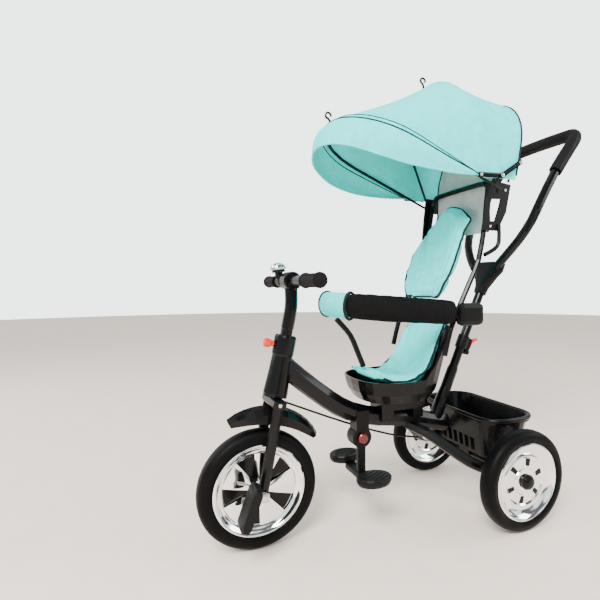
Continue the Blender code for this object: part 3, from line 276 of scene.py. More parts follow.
# %% Make a tyre finish for each hub
def tyre_rubber(name, hub, radius):
    """Rubber with a lozenge tread on its outer part and smooth side walls."""
    material = new_material(name, (0.003, 0.003, 0.0035), 0.55, Specular_IOR_Level=0.10)
    tree = material.node_tree
    shader = tree.nodes["Principled BSDF"]
    where = add(tree, "ShaderNodeTexCoord")
    centre = add(tree, "ShaderNodeMapping")
    centre.inputs["Location"].default_value = (-hub[0], -hub[1], -hub[2])
    split = add(tree, "ShaderNodeSeparateXYZ")
    tree.links.new(where.outputs["Object"], centre.inputs["Vector"])
    tree.links.new(centre.outputs["Vector"], split.inputs["Vector"])

    def math_node(operation, first, second):
        node = add(tree, "ShaderNodeMath", operation=operation)
        for index, value in enumerate((first, second)):
            if isinstance(value, (int, float)):
                node.inputs[index].default_value = value
            elif value is not None:
                tree.links.new(value, node.inputs[index])
        return node.outputs["Value"]

    angle = math_node("ARCTAN2", split.outputs["Y"], split.outputs["Z"])
    around = math_node("MULTIPLY", angle, 46.0)
    across = math_node("MULTIPLY", math_node("ABSOLUTE", split.outputs["X"], None), 420.0)
    first = math_node("SINE", math_node("ADD", around, across), None)
    second = math_node("SINE", math_node("SUBTRACT", around, across), None)
    lozenge = math_node("GREATER_THAN", math_node("MULTIPLY", first, second), 0.02)
    square = math_node("ADD", math_node("POWER", math_node("ABSOLUTE", split.outputs["Y"], None), 2.0),
                       math_node("POWER", math_node("ABSOLUTE", split.outputs["Z"], None), 2.0))
    tread = math_node("GREATER_THAN", square, (radius * 0.915) ** 2)
    link_bump(tree, shader, math_node("MULTIPLY", lozenge, tread), 0.004, 1.0)
    effect = put_group(tree, moulded_grain, 700.0)
    ramp(tree, effect.outputs["Patches"], (0.40, 0.40, 0.40), (0.62, 0.62, 0.62), shader.inputs["Roughness"])
    ramp(tree, effect.outputs["Grain"], (0.0006, 0.0006, 0.0008), (0.0018, 0.0018, 0.002), shader.inputs["Base Color"])
    return material


FRONT_HUB = Vector((0, -0.36, 0.127))
REAR_HUB = Vector((0.1935, 0.203, 0.115))
FRONT_RADIUS, REAR_RADIUS = 0.127, 0.115
FRONT_WIDTH, REAR_WIDTH = 0.0465, 0.041
print("front hub", list(FRONT_HUB), "rear hub", list(REAR_HUB))

# %% [markdown]
# ## Finishes on the rigid parts
#
# The moulded, painted and plated parts already have their true shape, so they keep it and only get
# a better surface.

# %% Give each rigid part its finish
FINISHES = {
    black_paint: ["frame", "fork", "handlebar", "back_frame", "canopy_bow_front", "canopy_bow_middle",
                  "canopy_bow_rear", "canopy_link_front_left", "canopy_link_front_right", "canopy_link_rear_left",
                  "canopy_link_rear_right", "pole_tube", "handle_tube", "steering_rod", "head_tube"],
    gloss_black: ["head_cover", "mudguard", "seat_shell", "basket", "hub_cap_left", "hub_cap_right"],
    satin_black: ["guard_rail", "footrest", "footrest_bracket", "pedal_left", "pedal_right", "bell_base", "bell_lever",
                  "canopy_bracket_left", "canopy_bracket_right", "latch_band", "handle_joint", "crotch_bar"],
    foam_black: ["handle_foam"],
    plated: ["bell_dome"],
    bare_steel: ["rear_axle", "crank_set", "steering_shaft"],
    red_plastic: ["steering_lock_knob", "height_latch"],
    dark_red: ["footrest_button"],
}
for finish, names in FINISHES.items():
    for name in names:
        nodes[name].data.materials.clear()
        nodes[name].data.materials.append(finish)
print(sum(len(names) for names in FINISHES.values()), "rigid parts painted")


# %% [markdown]
# ## Modelling helpers
#
# Three ways of making a shape cover nearly every soft or round piece here.  A grid whose points are
# moved onto a curved surface makes cloth.  A ring of points that is extruded from place to place
# makes piping, tubes and sleeves.  An outline that is spun about an axle makes tyres and rims.

# %% Turn a bmesh into a finished piece
def piece(name, bm, finish, body, slot, smooth=True):
    """Link a bmesh as an object at the origin that rides on a body."""
    mesh = bpy.data.meshes.new(name)
    bm.to_mesh(mesh)
    bm.free()
    mesh.materials.append(finish)
    if smooth:
        mesh.shade_smooth()
        mesh.set_sharp_from_angle(angle=math.radians(40))
    thing = bpy.data.objects.new(name, mesh)
    bpy.context.scene.collection.objects.link(thing)
    if body:
        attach(thing, body)
    return thing


def cloth_grid(place, columns, rows, thickness):
    """A grid laid onto place(u, v), u and v from 0 to 1, and given a thickness."""
    bm = bmesh.new()
    bmesh.ops.create_grid(bm, x_segments=columns, y_segments=rows, size=1.0)
    for vert in bm.verts:
        vert.co = place((vert.co.x + 1) / 2, (vert.co.y + 1) / 2)
    bmesh.ops.recalc_face_normals(bm, faces=bm.faces)
    if thickness:
        bmesh.ops.solidify(bm, geom=bm.faces[:], thickness=thickness)
        bmesh.ops.recalc_face_normals(bm, faces=bm.faces)
    return bm


def along_frames(points, reference):
    """A placing matrix at each point: X across, Y towards the reference, Z along."""
    frames = []
    for index, point in enumerate(points):
        before, after = points[max(index - 1, 0)], points[min(index + 1, len(points) - 1)]
        along = (after - before).normalized()
        across = Vector(reference).cross(along).normalized()
        frames.append(Matrix.Translation(point) @ Matrix((across, along.cross(across), along)).transposed().to_4x4())
    return frames


def tube_mesh(points, half_x, half_y, sides=10, reference=(0, 0, 1), scales=None):
    """A closed tube: a ring is extruded from frame to frame, then both ends are filled."""
    frames = along_frames(points, reference)
    scales = scales or [1.0] * len(points)
    bm = bmesh.new()
    made = bmesh.ops.create_circle(bm, cap_ends=True, radius=1.0, segments=sides)
    ring = made["verts"]
    shape = [frame @ Matrix.Diagonal((half_x * s, half_y * s, 1, 1)) for frame, s in zip(frames, scales)]
    bmesh.ops.transform(bm, matrix=shape[0], verts=ring)
    edges = [edge for edge in bm.edges if edge.verts[0] in ring]
    for before, after in zip(shape, shape[1:]):
        grown = bmesh.ops.extrude_edge_only(bm, edges=edges)["geom"]
        ring = [item for item in grown if isinstance(item, bmesh.types.BMVert)]
        edges = [item for item in grown if isinstance(item, bmesh.types.BMEdge)]
        bmesh.ops.transform(bm, matrix=after @ before.inverted(), verts=ring)
    bmesh.ops.edgeloop_fill(bm, edges=edges)
    bmesh.ops.recalc_face_normals(bm, faces=bm.faces)
    return bm


def spun(outline, steps, place):
    """A closed outline of (radius, x) spun about the X axis, then placed."""
    bm = bmesh.new()
    verts = [bm.verts.new((x, 0, radius)) for radius, x in outline]
    for first, second in zip(verts, verts[1:] + verts[:1]):
        bm.edges.new((first, second))
    bmesh.ops.spin(bm, geom=bm.verts[:] + bm.edges[:], cent=(0, 0, 0), axis=(1, 0, 0), angle=math.tau,
                   steps=steps, use_merge=True)
    bmesh.ops.remove_doubles(bm, verts=bm.verts, dist=1e-6)
    bmesh.ops.recalc_face_normals(bm, faces=bm.faces)
    bmesh.ops.transform(bm, matrix=place, verts=bm.verts)
    return bm


def curve_through(points, count):
    """Evenly spaced points on a smooth curve through a few given ones."""
    given = [Vector(point) for point in points]
    ends = [2 * given[0] - given[1], *given, 2 * given[-1] - given[-2]]
    dense = []
    for a, b, c, d in zip(ends, ends[1:], ends[2:], ends[3:]):
        for step in range(24):
            t = step / 24
            dense.append(0.5 * (2 * b + (c - a) * t + (2 * a - 5 * b + 4 * c - d) * t * t
                                + (3 * b - a - 3 * c + d) * t ** 3))
    return evenly(dense + [given[-1]], count)


def evenly(dense, count):
    """Points at equal distances along a polyline."""
    lengths = [0.0]
    for first, second in zip(dense, dense[1:]):
        lengths.append(lengths[-1] + (second - first).length)
    result, at = [], 0
    for index in range(count):
        target = lengths[-1] * index / (count - 1)
        while at < len(lengths) - 2 and lengths[at + 1] < target:
            at += 1
        share = (target - lengths[at]) / max(lengths[at + 1] - lengths[at], 1e-9)
        result.append(dense[at].lerp(dense[at + 1], min(max(share, 0), 1)))
    return result


def at(points, u):
    """The point a share u of the way along evenly spaced points."""
    where = min(max(u, 0), 1) * (len(points) - 1)
    index = min(int(where), len(points) - 2)
    return points[index].lerp(points[index + 1], where - index)


print("helpers ready")

# %% [markdown]
# ## Canopy
#
# Three bows carry the canopy.  Each is a U whose plane holds the fold axis, so the cloth over them
# is ruled from bow to bow and dips a little between.  It is one curved sheet in front of the middle
# bow and one behind it, and a soft peak hangs from the front bow.  A grid laid from one bow's line
# to the next gives exactly that, and a few radial creases near the hinge show where it folds.

# %% Lines that the cloth takes over the bows
FOLD = Vector((0, 0.169, 0.782))
CLOTH_X = 0.157
CLOTH_LIFT = 0.0036
CLOTH_CORNER, REAR_CLOTH_CORNER = 0.140, 0.134
FRONT_ANGLE, FRONT_REACH = 158.0, 0.382
MIDDLE_ANGLE, MIDDLE_REACH = 112.5, 0.285


def fan(angle):
    """Unit direction in the side plane by its angle from +Y."""
    return Vector((0, math.cos(math.radians(angle)), math.sin(math.radians(angle))))


def bow_line(foot, direction, start, reach, corner, half=CLOTH_X, count=121):
    """The U from the left foot over the crown to the right foot."""
    left = [(half, start), (half, reach - corner)]
    left += [(half - corner + corner * math.cos(math.pi / 2 * i / 8), reach - corner
              + corner * math.sin(math.pi / 2 * i / 8)) for i in range(1, 9)]
    full = left + [(-x, r) for x, r in left[::-1]]
    return evenly([foot + direction * r + Vector((x, 0, 0)) for x, r in full], count)


front_way, middle_way = fan(FRONT_ANGLE), fan(MIDDLE_ANGLE)
REAR_FOOT, REAR_TOP = Vector((0, 0.2085, 0.806)), Vector((0, 0.249, 1.018))
rear_way = (REAR_TOP - REAR_FOOT).normalized()
front_line = bow_line(FOLD, front_way, 0.056, FRONT_REACH + CLOTH_LIFT, CLOTH_CORNER)
middle_line = bow_line(FOLD, middle_way, 0.026, MIDDLE_REACH + CLOTH_LIFT, CLOTH_CORNER)
rear_reach = (REAR_TOP - REAR_FOOT).length
rear_line = bow_line(REAR_FOOT, rear_way, 0.0, rear_reach + CLOTH_LIFT, REAR_CLOTH_CORNER)
print("crown heights", [round(max(p.z for p in line), 3) for line in (front_line, middle_line, rear_line)])


# %% Lay the cloth from bow to bow
def between_bows(first, second, dip, crease_at, start=0.0, stop=1.0):
    """A placing function for a sheet between two bow lines."""
    middle = Vector((0, 0.10, 0.80))

    def place(u, v):
        share = start + (stop - start) * v
        point = at(first, u).lerp(at(second, u), share)
        inward = (middle - point).normalized()
        sag = dip * math.sin(math.pi * share) * (0.4 + 0.6 * math.sin(math.pi * u))
        side = abs(2 * u - 1)
        low = max(side - 0.45, 0) / 0.55
        crease = math.sin(share * 9.5 + 5.0 * side) * math.exp(-((share - crease_at) / 0.28) ** 2)
        ripple = noise.noise(Vector((point.x * 3, point.y * 26, point.z * 26))) * 0.0016 * (0.3 + low)
        return point + inward * (sag + 0.0016 * crease * low ** 0.7 * math.sin(math.pi * share) + ripple * min(
            1, 6 * math.sin(math.pi * share)))
    return place


front_place = between_bows(front_line, middle_line, 0.007, 0.8, 0.004, 0.996)
rear_place = between_bows(middle_line, rear_line, 0.004, 0.3, 0.004, 0.996)
front_cloth = piece("canopy_front_sheet", cloth_grid(front_place, 110, 34, -0.0011), turquoise, None, "cloth")
rear_cloth = piece("canopy_rear_sheet", cloth_grid(rear_place, 110, 22, -0.0011), turquoise, None, "cloth")
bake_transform(front_cloth)
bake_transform(rear_cloth)
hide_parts("canopy_front_cloth")
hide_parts("canopy_rear_cloth")


def run_length(points):
    """Length along a row of points."""
    return sum((second - first).length for first, second in zip(points, points[1:]))


# %% Hang the peak and bind its edge
PEAK_EDGE = [(0.1570, 0.100, 0.808), (0.1575, 0.030, 0.8035), (0.1560, -0.050, 0.806), (0.1450, -0.125, 0.8200),
             (0.1030, -0.184, 0.8430), (0.0500, -0.212, 0.8570), (0, -0.2215, 0.8620)]
peak_edge = curve_through(PEAK_EDGE + [(-x, y, z) for x, y, z in PEAK_EDGE[-2::-1]], 121)


def peak_place(u, v):
    """From the front bow down to the bound edge, with a soft outward belly."""
    top, low = at(front_line, u), at(peak_edge, u)
    middle = math.sin(math.pi * u)
    belly = (Vector((0, -0.5, 0.5)) + Vector(((1 - 2 * u) * 0.8, 0, 0))).normalized()
    wave = noise.noise(Vector((u * 11, v * 2, 0.3))) * 0.004 * v
    return top.lerp(low, v) + belly * (0.016 * math.sin(math.pi * min(v * 0.85, 1)) * middle ** 0.6 + wave)


peak = piece("canopy_peak_sheet", cloth_grid(peak_place, 110, 22, -0.0012), turquoise, "canopy_fore", "cloth")
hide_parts("canopy_peak")


def piping(name, points, body, radius=0.0021, finish=teal_piping, slot="soft_black", reference=(0.3, 0.2, 1)):
    """A round bound edge along a line."""
    return piece(name, tube_mesh(points, radius, radius, 8, reference), finish, body, slot)


def lifted(points, by):
    """The line moved outwards from the middle of the canopy."""
    middle = Vector((0, 0.10, 0.80))
    return [point + (point - middle).normalized() * by for point in points]


LEAN = (0.1, 1, 0.2)
peak_hem = [peak_place(i / 90, 1.0) for i in range(91)]
peak_stitch = lifted([peak_place(0.012 + 0.976 * i / 90, 0.16) for i in range(91)], 0.0014)
piping("peak_binding", peak_hem, "canopy_fore", 0.0022, turquoise, "cloth", (0.02, 0.3, 1))
piping("front_seam_piping", peak_stitch, "canopy_fore", 0.0019, reference=LEAN)
piping("front_bow_piping", lifted(front_line[1:-1], 0.0010), "canopy_fore", 0.0015, reference=LEAN)
piece("middle_bow_piping", tube_mesh(lifted(middle_line[::2], 0.0006), 0.0012, 0.0012, 6, LEAN), turquoise,
      "canopy_mid", "cloth")
piping("rear_bow_piping", lifted(rear_line[2:-2:2], 0.0008), "chassis", 0.0022, reference=LEAN)
print("canopy covered and bound")

# %% [markdown]
# ## Padded seat and back
#
# The pads are stitched covers over foam.  A real cover swells between its seams, so each pad starts
# from the plain solid's shape, is remeshed evenly, and is blown up a little by a short cloth
# simulation with no gravity.  Points may only travel a few millimetres, so it stays in its place.
# A small change of outline and the sewn channels come afterwards, because remeshing would close
# the channels.

# %% Swell a pad from its plain solid
def swollen(name, node, body, voxel, pressure, cap, reshape, channels):
    """A puffed copy of a plain solid, reshaped a little; channels(point) gives how deep a seam is there."""
    bm = bmesh.new()
    bm.from_mesh(nodes[node].data)
    bmesh.ops.remove_doubles(bm, verts=bm.verts, dist=1e-5)
    pad = piece(name, bm, turquoise, None, "cloth")
    remesh = pad.modifiers.new("even", "REMESH")
    remesh.mode, remesh.voxel_size = "VOXEL", voxel
    apply_modifiers(pad)
    bm = bmesh.new()
    bm.from_mesh(pad.data)
    for _ in range(3):
        bmesh.ops.smooth_vert(bm, verts=bm.verts, factor=0.5, use_axis_x=True, use_axis_y=True, use_axis_z=True)
    bm.to_mesh(pad.data)
    bm.free()
    rest = [vert.co.copy() for vert in pad.data.vertices]
    cloth = pad.modifiers.new("swell", "CLOTH")
    cloth.settings.use_pressure = True
    cloth.settings.uniform_pressure_force = pressure
    cloth.settings.effector_weights.gravity = 0
    for step in range(1, 21):
        bpy.context.scene.frame_set(step)
    apply_modifiers(pad)
    bpy.context.scene.frame_set(1)
    for vert, start in zip(pad.data.vertices, rest):
        move = vert.co - start
        if move.length > cap:
            vert.co = start + move.normalized() * cap
    for vert in pad.data.vertices:
        vert.co = reshape(vert.co)
    normals = [vert.normal.copy() for vert in pad.data.vertices]
    for vert, normal in zip(pad.data.vertices, normals):
        pucker = noise.noise(vert.co * 42) * 0.0008 + noise.noise(vert.co * 17) * 0.0009
        vert.co = vert.co - normal * (channels(vert.co) - pucker)
    finer = pad.modifiers.new("finer", "SUBSURF")
    finer.levels = finer.render_levels = 1
    apply_modifiers(pad)
    pad.data.shade_smooth()
    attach(pad, body)
    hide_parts(node)
    print(name, len(pad.data.polygons), "faces")
    return pad


def apply_modifiers(thing):
    """Swap the mesh for its evaluated one and drop the modifiers."""
    evaluated = thing.evaluated_get(bpy.context.evaluated_depsgraph_get())
    mesh = bpy.data.meshes.new_from_object(evaluated)
    thing.modifiers.clear()
    thing.data = mesh


def groove(distance, depth, width):
    """Depth of a sewn channel at a distance from its line."""
    return depth * math.exp(-(distance / width) ** 2)


def seat_shape(point):
    """The front of the seat cushion spreads and rests on the shell's lip."""
    front = min(max((-0.040 - point.y) / 0.050, 0), 1)
    return Vector((point.x * (1 + 0.13 * front), point.y - 0.004 * front, point.z + 0.010 * front))


def back_shape(point):
    """The top of the back cushion is a round dome."""
    high = min(max((point.z - 0.700) / 0.075, 0), 1)
    return Vector((point.x * (1 + 0.25 * math.sin(math.pi * high ** 0.8)) * math.sqrt(1 - 0.55 * high ** 3),
                   point.y, point.z - 0.012 * high * min(abs(point.x) / 0.045, 1) ** 2))


def seat_channels(point):
    """Two long channels beside the middle, and one across where the seat meets the back."""
    return (groove(abs(point.x) - 0.058, 0.0050, 0.0060) + groove(point.z - 0.372 + abs(point.x) * 0.25, 0.0040, 0.0075)
            + groove(point.y + 0.062, 0.0030, 0.006))


def back_channels(point):
    """A V of seams that splits the middle from the two side wings, and one near the bottom."""
    wing = abs(point.x) - (0.050 + 0.10 * max(point.z - 0.60, 0) + 0.14 * max(0.60 - point.z, 0))
    return (groove(wing, 0.0065, 0.0065) + groove(point.z - 0.560 - 0.25 * abs(point.x), 0.0035, 0.006)
            + groove(point.z - 0.690 + 0.35 * abs(point.x), 0.0030, 0.006))


seat_cover = swollen("seat_cushion", "seat_pad", "chassis", 0.0050, 3.0, 0.005, seat_shape, seat_channels)
back_cover = swollen("back_cushion", "back_pad", "chassis", 0.0050, 3.0, 0.006, back_shape, back_channels)

# %% Bind the edges of the pads
SEAT_SPINE = [(0, -0.104, 0.350), (0, -0.070, 0.338), (0, -0.020, 0.332), (0, 0.020, 0.340), (0, 0.046, 0.372),
              (0, 0.060, 0.420), (0, 0.074, 0.470), (0, 0.086, 0.505)]
seat_spine = curve_through(SEAT_SPINE, 61)


def seat_edge(side):
    """The side edge of the seat cushion, from the front to the top."""
    line = []
    for index, point in enumerate(seat_spine):
        before, after = seat_spine[max(index - 1, 0)], seat_spine[min(index + 1, 60)]
        along = (after - before).normalized()
        share = index / 60
        half = 0.078 + 0.014 * math.sin(math.pi * min(share * 1.15, 1)) + 0.0015
        lift = 0.026 * math.sin(math.pi * share) ** 2
        line.append(seat_shape(point + Vector((0, -along.z, along.y)) * lift + Vector((side * half, 0, 0))))
    return line


def laid_on(cushion, points):
    """The nearest points of a cushion's own surface."""
    return [cushion.closest_point_on_mesh(point)[1] for point in points]


for side, word in ((1, "left"), (-1, "right")):
    line = laid_on(seat_cover, [point + Vector((side * 0.004, 0, 0)) for point in seat_edge(side)])
    piping(f"seat_binding_{word}", evenly(line, 70), "chassis", 0.0028, reference=(1, 0, 0))


def back_frame_y(z):
    """How far back the bent frame is at a height."""
    route = [(0.040, 0.400), (0.056, 0.460), (0.080, 0.510), (0.108, 0.565), (0.135, 0.620), (0.150, 0.690),
             (0.160, 0.745), (0.166, 0.785)]
    for (y0, z0), (y1, z1) in zip(route, route[1:]):
        if z0 <= z <= z1:
            return y0 + (y1 - y0) * (z - z0) / (z1 - z0)
    return route[-1][0]


def back_edge(t, across):
    """A point on the border of the back cushion."""
    z = 0.528 + 0.236 * t
    half = 0.104 * (1 - abs(2 * t - 0.72) ** 2.6 / (1.28 ** 2.6) * 0.62) if t > 0.36 else (
        0.104 * (0.68 + 0.32 * math.sin(math.pi * t / 0.72)))
    fold = 0.046 * abs(across) ** 2.2 * math.sin(math.pi * min(t + 0.18, 1)) ** 0.8
    y = back_frame_y(z) - 0.0085 - fold - 0.0045 - 0.010 * (1 - across ** 4)
    return back_shape(Vector((half * across * 1.01, y, z)))


border = [back_edge(i / 24, 1) for i in range(25)] + [back_edge(1, 1 - i / 8) for i in range(1, 16)]
border += [back_edge(1 - i / 24, -1) for i in range(25)] + [back_edge(0, -1 + i / 8) for i in range(1, 17)]
middle = Vector((0, 0.10, 0.645))
border = laid_on(back_cover, [point + (point - middle).normalized() * 0.006 for point in border])
piping("back_binding", evenly(border, 140), "chassis", 0.0026, reference=(0.05, 1, 0.1))
print("bindings sewn")

# %% Stretch the grey panel behind the rider
PANEL = [(0, 0.1785, 0.690), (0, 0.1810, 0.800), (0, 0.2060, 0.900), (0, 0.2270, 0.965), (0, 0.2385, 1.000)]
panel_rise = curve_through(PANEL, 41)


def panel_place(u, v):
    """Up from the back cushion to the rear bow, narrowing under the bow's corners."""
    point = at(panel_rise, v)
    half = 0.101 + 0.016 * min(v * 2, 1) - 0.046 * max((v - 0.80) / 0.2, 0) ** 1.5
    hollow = 0.004 * math.sin(math.pi * u) * math.sin(math.pi * v)
    fold = noise.noise(Vector((u * 5, v * 3, 1.7))) * 0.003
    return Vector(((1 - 2 * u) * half, point.y - hollow + fold, point.z))


panel = piece("back_net_panel", cloth_grid(panel_place, 50, 50, 0.0012), grey_net, "chassis", "mesh_grey")
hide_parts("back_panel")
for u, word in ((0.0, "left"), (1.0, "right")):
    piping(f"panel_binding_{word}", [panel_place(u, i / 30) + Vector((0, -0.001, 0)) for i in range(31)], "chassis",
           0.0026, reference=(1, 0, 0))
print("panel", round(run_length(panel_rise), 3), "m tall")

# %% [markdown]
# ## Guard rail sleeves
#
# Foam sleeves in cloth cover the rail.  An oval ring is run along the rail's own line and pinched a
# little at each end where the cover is gathered.  Slight waves across the run read as slack cloth.

# %% Cover the rail
RAIL_HALF, RAIL_FRONT = 0.130, -0.188


def rail_point(x, y):
    """The rail climbs a little to the front."""
    return Vector((x, y, 0.494 + (0.128 - y) / (0.128 - RAIL_FRONT) * 0.023))


rail_side = [rail_point(RAIL_HALF, y) for y in (0.0510, 0.030, 0.000, -0.030, -0.060)]
rail_turn = [rail_point(RAIL_HALF * math.cos(math.pi * i / 24), -0.080 - 0.108 * math.sin(math.pi * i / 24) ** 0.9)
             for i in range(1, 24)]
rail_line = evenly(rail_side + rail_turn + [Vector((-p.x, p.y, p.z)) for p in rail_side[::-1]], 241)
split_low = next(i for i, p in enumerate(rail_line) if p.x < 0.067)
split_high = 240 - split_low


def sleeve_mesh(points, half, tall, slack, pinch):
    """An oval tube, gathered at its ends and slightly slack."""
    count = len(points)
    scales = [1 - pinch * (math.exp(-i / 2.2) + math.exp(-(count - 1 - i) / 2.2)) for i in range(count)]
    bm = tube_mesh(points, half, tall, 30, (0, 0, 1), scales)
    bm.normal_update()
    for vert in bm.verts:
        crease = noise.noise(Vector((vert.co.x * 60, vert.co.y * 60, vert.co.z * 22))) * slack
        vert.co = vert.co + vert.normal * (crease - 0.0004)
    return bm


for word, low, high, finish, slot in (("left", 0, split_low - 2, sleeve_cloth, "soft_black"),
                                      ("right", split_high + 2, 240, sleeve_cloth, "soft_black"),
                                      ("front", split_low, split_high, turquoise, "cloth")):
    tall = 0.0288 if word == "front" else 0.0280
    sleeve = piece(f"rail_cover_{word}", sleeve_mesh(rail_line[low:high + 1], 0.0192, tall, 0.0009, 0.10), finish, "rail",
                   slot)
    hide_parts(f"rail_sleeve_{word}")


def ring_round(frame_matrix, half_x, half_y, count=40):
    """A closed oval line of piping round the sleeve."""
    return [frame_matrix @ Vector((half_x * math.cos(math.tau * i / count), half_y * math.sin(math.tau * i / count), 0))
            for i in range(count + 1)]


rail_frames = along_frames(rail_line, (0, 0, 1))
for word, index in (("left", split_low - 1), ("right", split_high + 1)):
    loop = ring_round(rail_frames[index], 0.0195, 0.0292)
    along = rail_line[index + 1] - rail_line[index - 1]
    piping(f"rail_collar_{word}", loop, "rail", 0.0034, reference=tuple(along.normalized()))
print("rail covered in", split_high - split_low, "steps of turquoise")

# %% [markdown]
# ## Wheels
#
# Every wheel is a foam tyre on a plated rim.  All the round parts come from outlines spun about the
# axle.  The spokes of the front wheel widen towards the rim, with a dark web behind them, a black sheet
# of painted shade that makes the gaps read as black windows.  The rear wheels have a deep bright dish
# with dark slots round the hub, black patches of painted shade laid on the dish.


# %% Spin the tyres
def tyre_outline(radius, width):
    """A round-shouldered foam tyre as (radius, x)."""
    inner, half = radius * 0.765 + 0.0004, width / 2
    side = [(inner, half * 0.80), (inner + 0.003, half * 0.95), (inner + 0.009, half), (radius - 0.014, half * 0.985),
            (radius - 0.007, half * 0.88), (radius - 0.0025, half * 0.66), (radius - 0.0006, half * 0.40),
            (radius, half * 0.18)]
    return side + [(r, -x) for r, x in side[::-1]]


FAR_HUB = Vector((-REAR_HUB.x, REAR_HUB.y, REAR_HUB.z))
WHEELS = {"front": (FRONT_HUB, FRONT_RADIUS, FRONT_WIDTH, "front_wheel", "front_tyre"),
          "rear_left": (REAR_HUB, REAR_RADIUS, REAR_WIDTH, "rear_wheel_l", "rear_tyre_left"),
          "rear_right": (FAR_HUB, REAR_RADIUS, REAR_WIDTH, "rear_wheel_r", "rear_tyre_right")}
for word, (hub, radius, width, body, tyre_node) in WHEELS.items():
    rubber = tyre_rubber(f"{word} tyre rubber", hub, radius)
    ring = spun(tyre_outline(radius, width), 112, Matrix.Translation(hub))
    tyre = piece(f"{word}_foam_tyre", ring, rubber, body, "tyre")
    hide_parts(tyre_node)
print("tyres spun")


# %% Spin the rims and lay the spokes
def gather(meshes):
    """Several bmeshes as one."""
    whole = bmesh.new()
    for bm in meshes:
        scratch = bpy.data.meshes.new("scratch")
        bm.to_mesh(scratch)
        bm.free()
        whole.from_mesh(scratch)
        bpy.data.meshes.remove(scratch)
    return whole


def lip_outline(rim, half, side, dish):
    """The bright lip and the concave ring inside it, on one side."""
    outline = [(rim, half * 0.74), (rim - 0.0002, half * 0.90), (rim - 0.0030, half * 0.955), (rim - 0.0060, half * 0.90),
               (rim - 0.0090, half * 0.72), (rim - 0.0140, dish + 0.0030), (rim - 0.0215, dish), (rim - 0.0225, dish - 0.0018),
               (rim - 0.0120, dish + 0.0002), (rim - 0.0045, half * 0.60)]
    return [(radius, x * side) for radius, x in outline]


def spoke_plate(hub, side, middle, inner, outer, x_hub, x_rim, spread_in, spread_out):
    """One flared, slightly raised spoke with thickness."""
    def place(u, v):
        reach = inner + (outer - inner) * v
        half_turn = (spread_in + (spread_out - spread_in) * v ** 1.6) * (2 * u - 1)
        bulge = 0.0022 * (1 - (2 * u - 1) ** 2)
        x = x_hub + (x_rim - x_hub) * v + bulge
        return hub + Vector((side * x, reach * math.cos(middle + half_turn), reach * math.sin(middle + half_turn)))
    return cloth_grid(place, 10, 8, 0.0012)


def front_rim_parts(hub):
    """Chrome lips, rings, spokes and hub on both sides, and the dark web, a black sheet of painted shade behind the
    gaps.
    """
    rim, half, place = FRONT_RADIUS * 0.765, FRONT_WIDTH / 2, Matrix.Translation(hub)
    bright = []
    for side in (1, -1):
        bright.append(spun(lip_outline(rim, half, side, 0.0100), 96, place))
        bright.append(spun([(r, x * side) for r, x in ((0.0062, 0.0100), (0.0200, 0.0100), (0.0205, 0.0150), (0.0170, 0.0200),
                                                      (0.0120, 0.0235), (0.0110, 0.0300), (0.0062, 0.0300))], 48, place))
        for spoke in range(5):
            middle = math.tau * (spoke + 0.06) / 5
            bright.append(spoke_plate(hub, side, middle, 0.0175, rim - 0.0195, 0.0150, 0.0108, 0.40, 0.37))
    dark = spun([(0.0062, -0.0085), (rim - 0.0010, -0.0085), (rim - 0.0003, -half * 0.70), (rim - 0.0003, half * 0.70),
                 (rim - 0.0010, 0.0085), (0.0062, 0.0085)], 64, place)
    return gather(bright), dark


def rear_rim_parts(hub, side):
    """A bright stepped dish towards the outside, a plain inner face, and dark slots round the hub, which are black
    patches of painted shade on the dish.
    """
    rim, half, place = REAR_RADIUS * 0.765, REAR_WIDTH / 2, Matrix.Translation(hub)
    face = [(0.0160, 0.0125), (0.0300, 0.0115), (0.0320, 0.0090), (0.0520, 0.0070), (0.0560, 0.0100), (0.0600, 0.0095),
            (0.0640, 0.0060), (0.0740, 0.0100), (rim - 0.0090, half * 0.72), (rim - 0.0060, half * 0.90),
            (rim - 0.0030, half * 0.955), (rim - 0.0002, half * 0.90), (rim, half * 0.70), (rim - 0.0030, half * 0.50),
            (0.0740, 0.0075), (0.0160, 0.0040)]
    outer = spun([(r, x * side) for r, x in face], 96, place)
    inner = spun([(r, -x * side) for r, x in face], 96, place)
    slots = []
    for facing in (side, -side):
        for slot in range(6):
            middle = math.tau * (slot + 0.3) / 6

            def patch(u, v, middle=middle, facing=facing):
                reach, turn = 0.0345 + 0.0165 * v, middle + (0.13 - 0.02 * v) * (2 * u - 1)
                x = 0.0092 - 0.0012 * v
                return hub + Vector((facing * x, reach * math.cos(turn), reach * math.sin(turn)))
            slots.append(cloth_grid(patch, 8, 4, 0.0008))
    web = spun([(0.0066, -0.0138), (0.0160, -0.0138), (0.0162, -0.0035), (rim - 0.0010, -0.0035), (rim - 0.0010, 0.0035),
                (0.0162, 0.0035), (0.0160, 0.0138), (0.0066, 0.0138)], 64, place)
    return gather([outer, inner]), gather(slots + [web])


bright, dark = front_rim_parts(FRONT_HUB)
front_bright = piece("front_bright_rim", bright, plated, "front_wheel", "plated")
# The dark web is painted shade: a black sheet where the gaps between the spokes fall into shade.
piece("front_web_painted_shade", dark, gloss_black, "front_wheel", "shell")
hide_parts("front_rim")
for side, word, body in ((1, "left", "rear_wheel_l"), (-1, "right", "rear_wheel_r")):
    bright, dark = rear_rim_parts(Vector((side * REAR_HUB.x, REAR_HUB.y, REAR_HUB.z)), side)
    rear_bright = piece(f"rear_bright_rim_{word}", bright, plated, body, "plated")
    # The dark slots are painted shade: black patches laid on the bright dish.
    piece(f"rear_slots_painted_shade_{word}", dark, gloss_black, body, "shell")
    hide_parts(f"rear_rim_{word}")
print("rims done")

# %% [markdown]
# ## Small parts
#
# Ribs on the grips and the foot plates, the rolled rim of the basket, the ribs under the seat's lip and
# the bright rivets of the canopy links are what the eye uses to judge size.

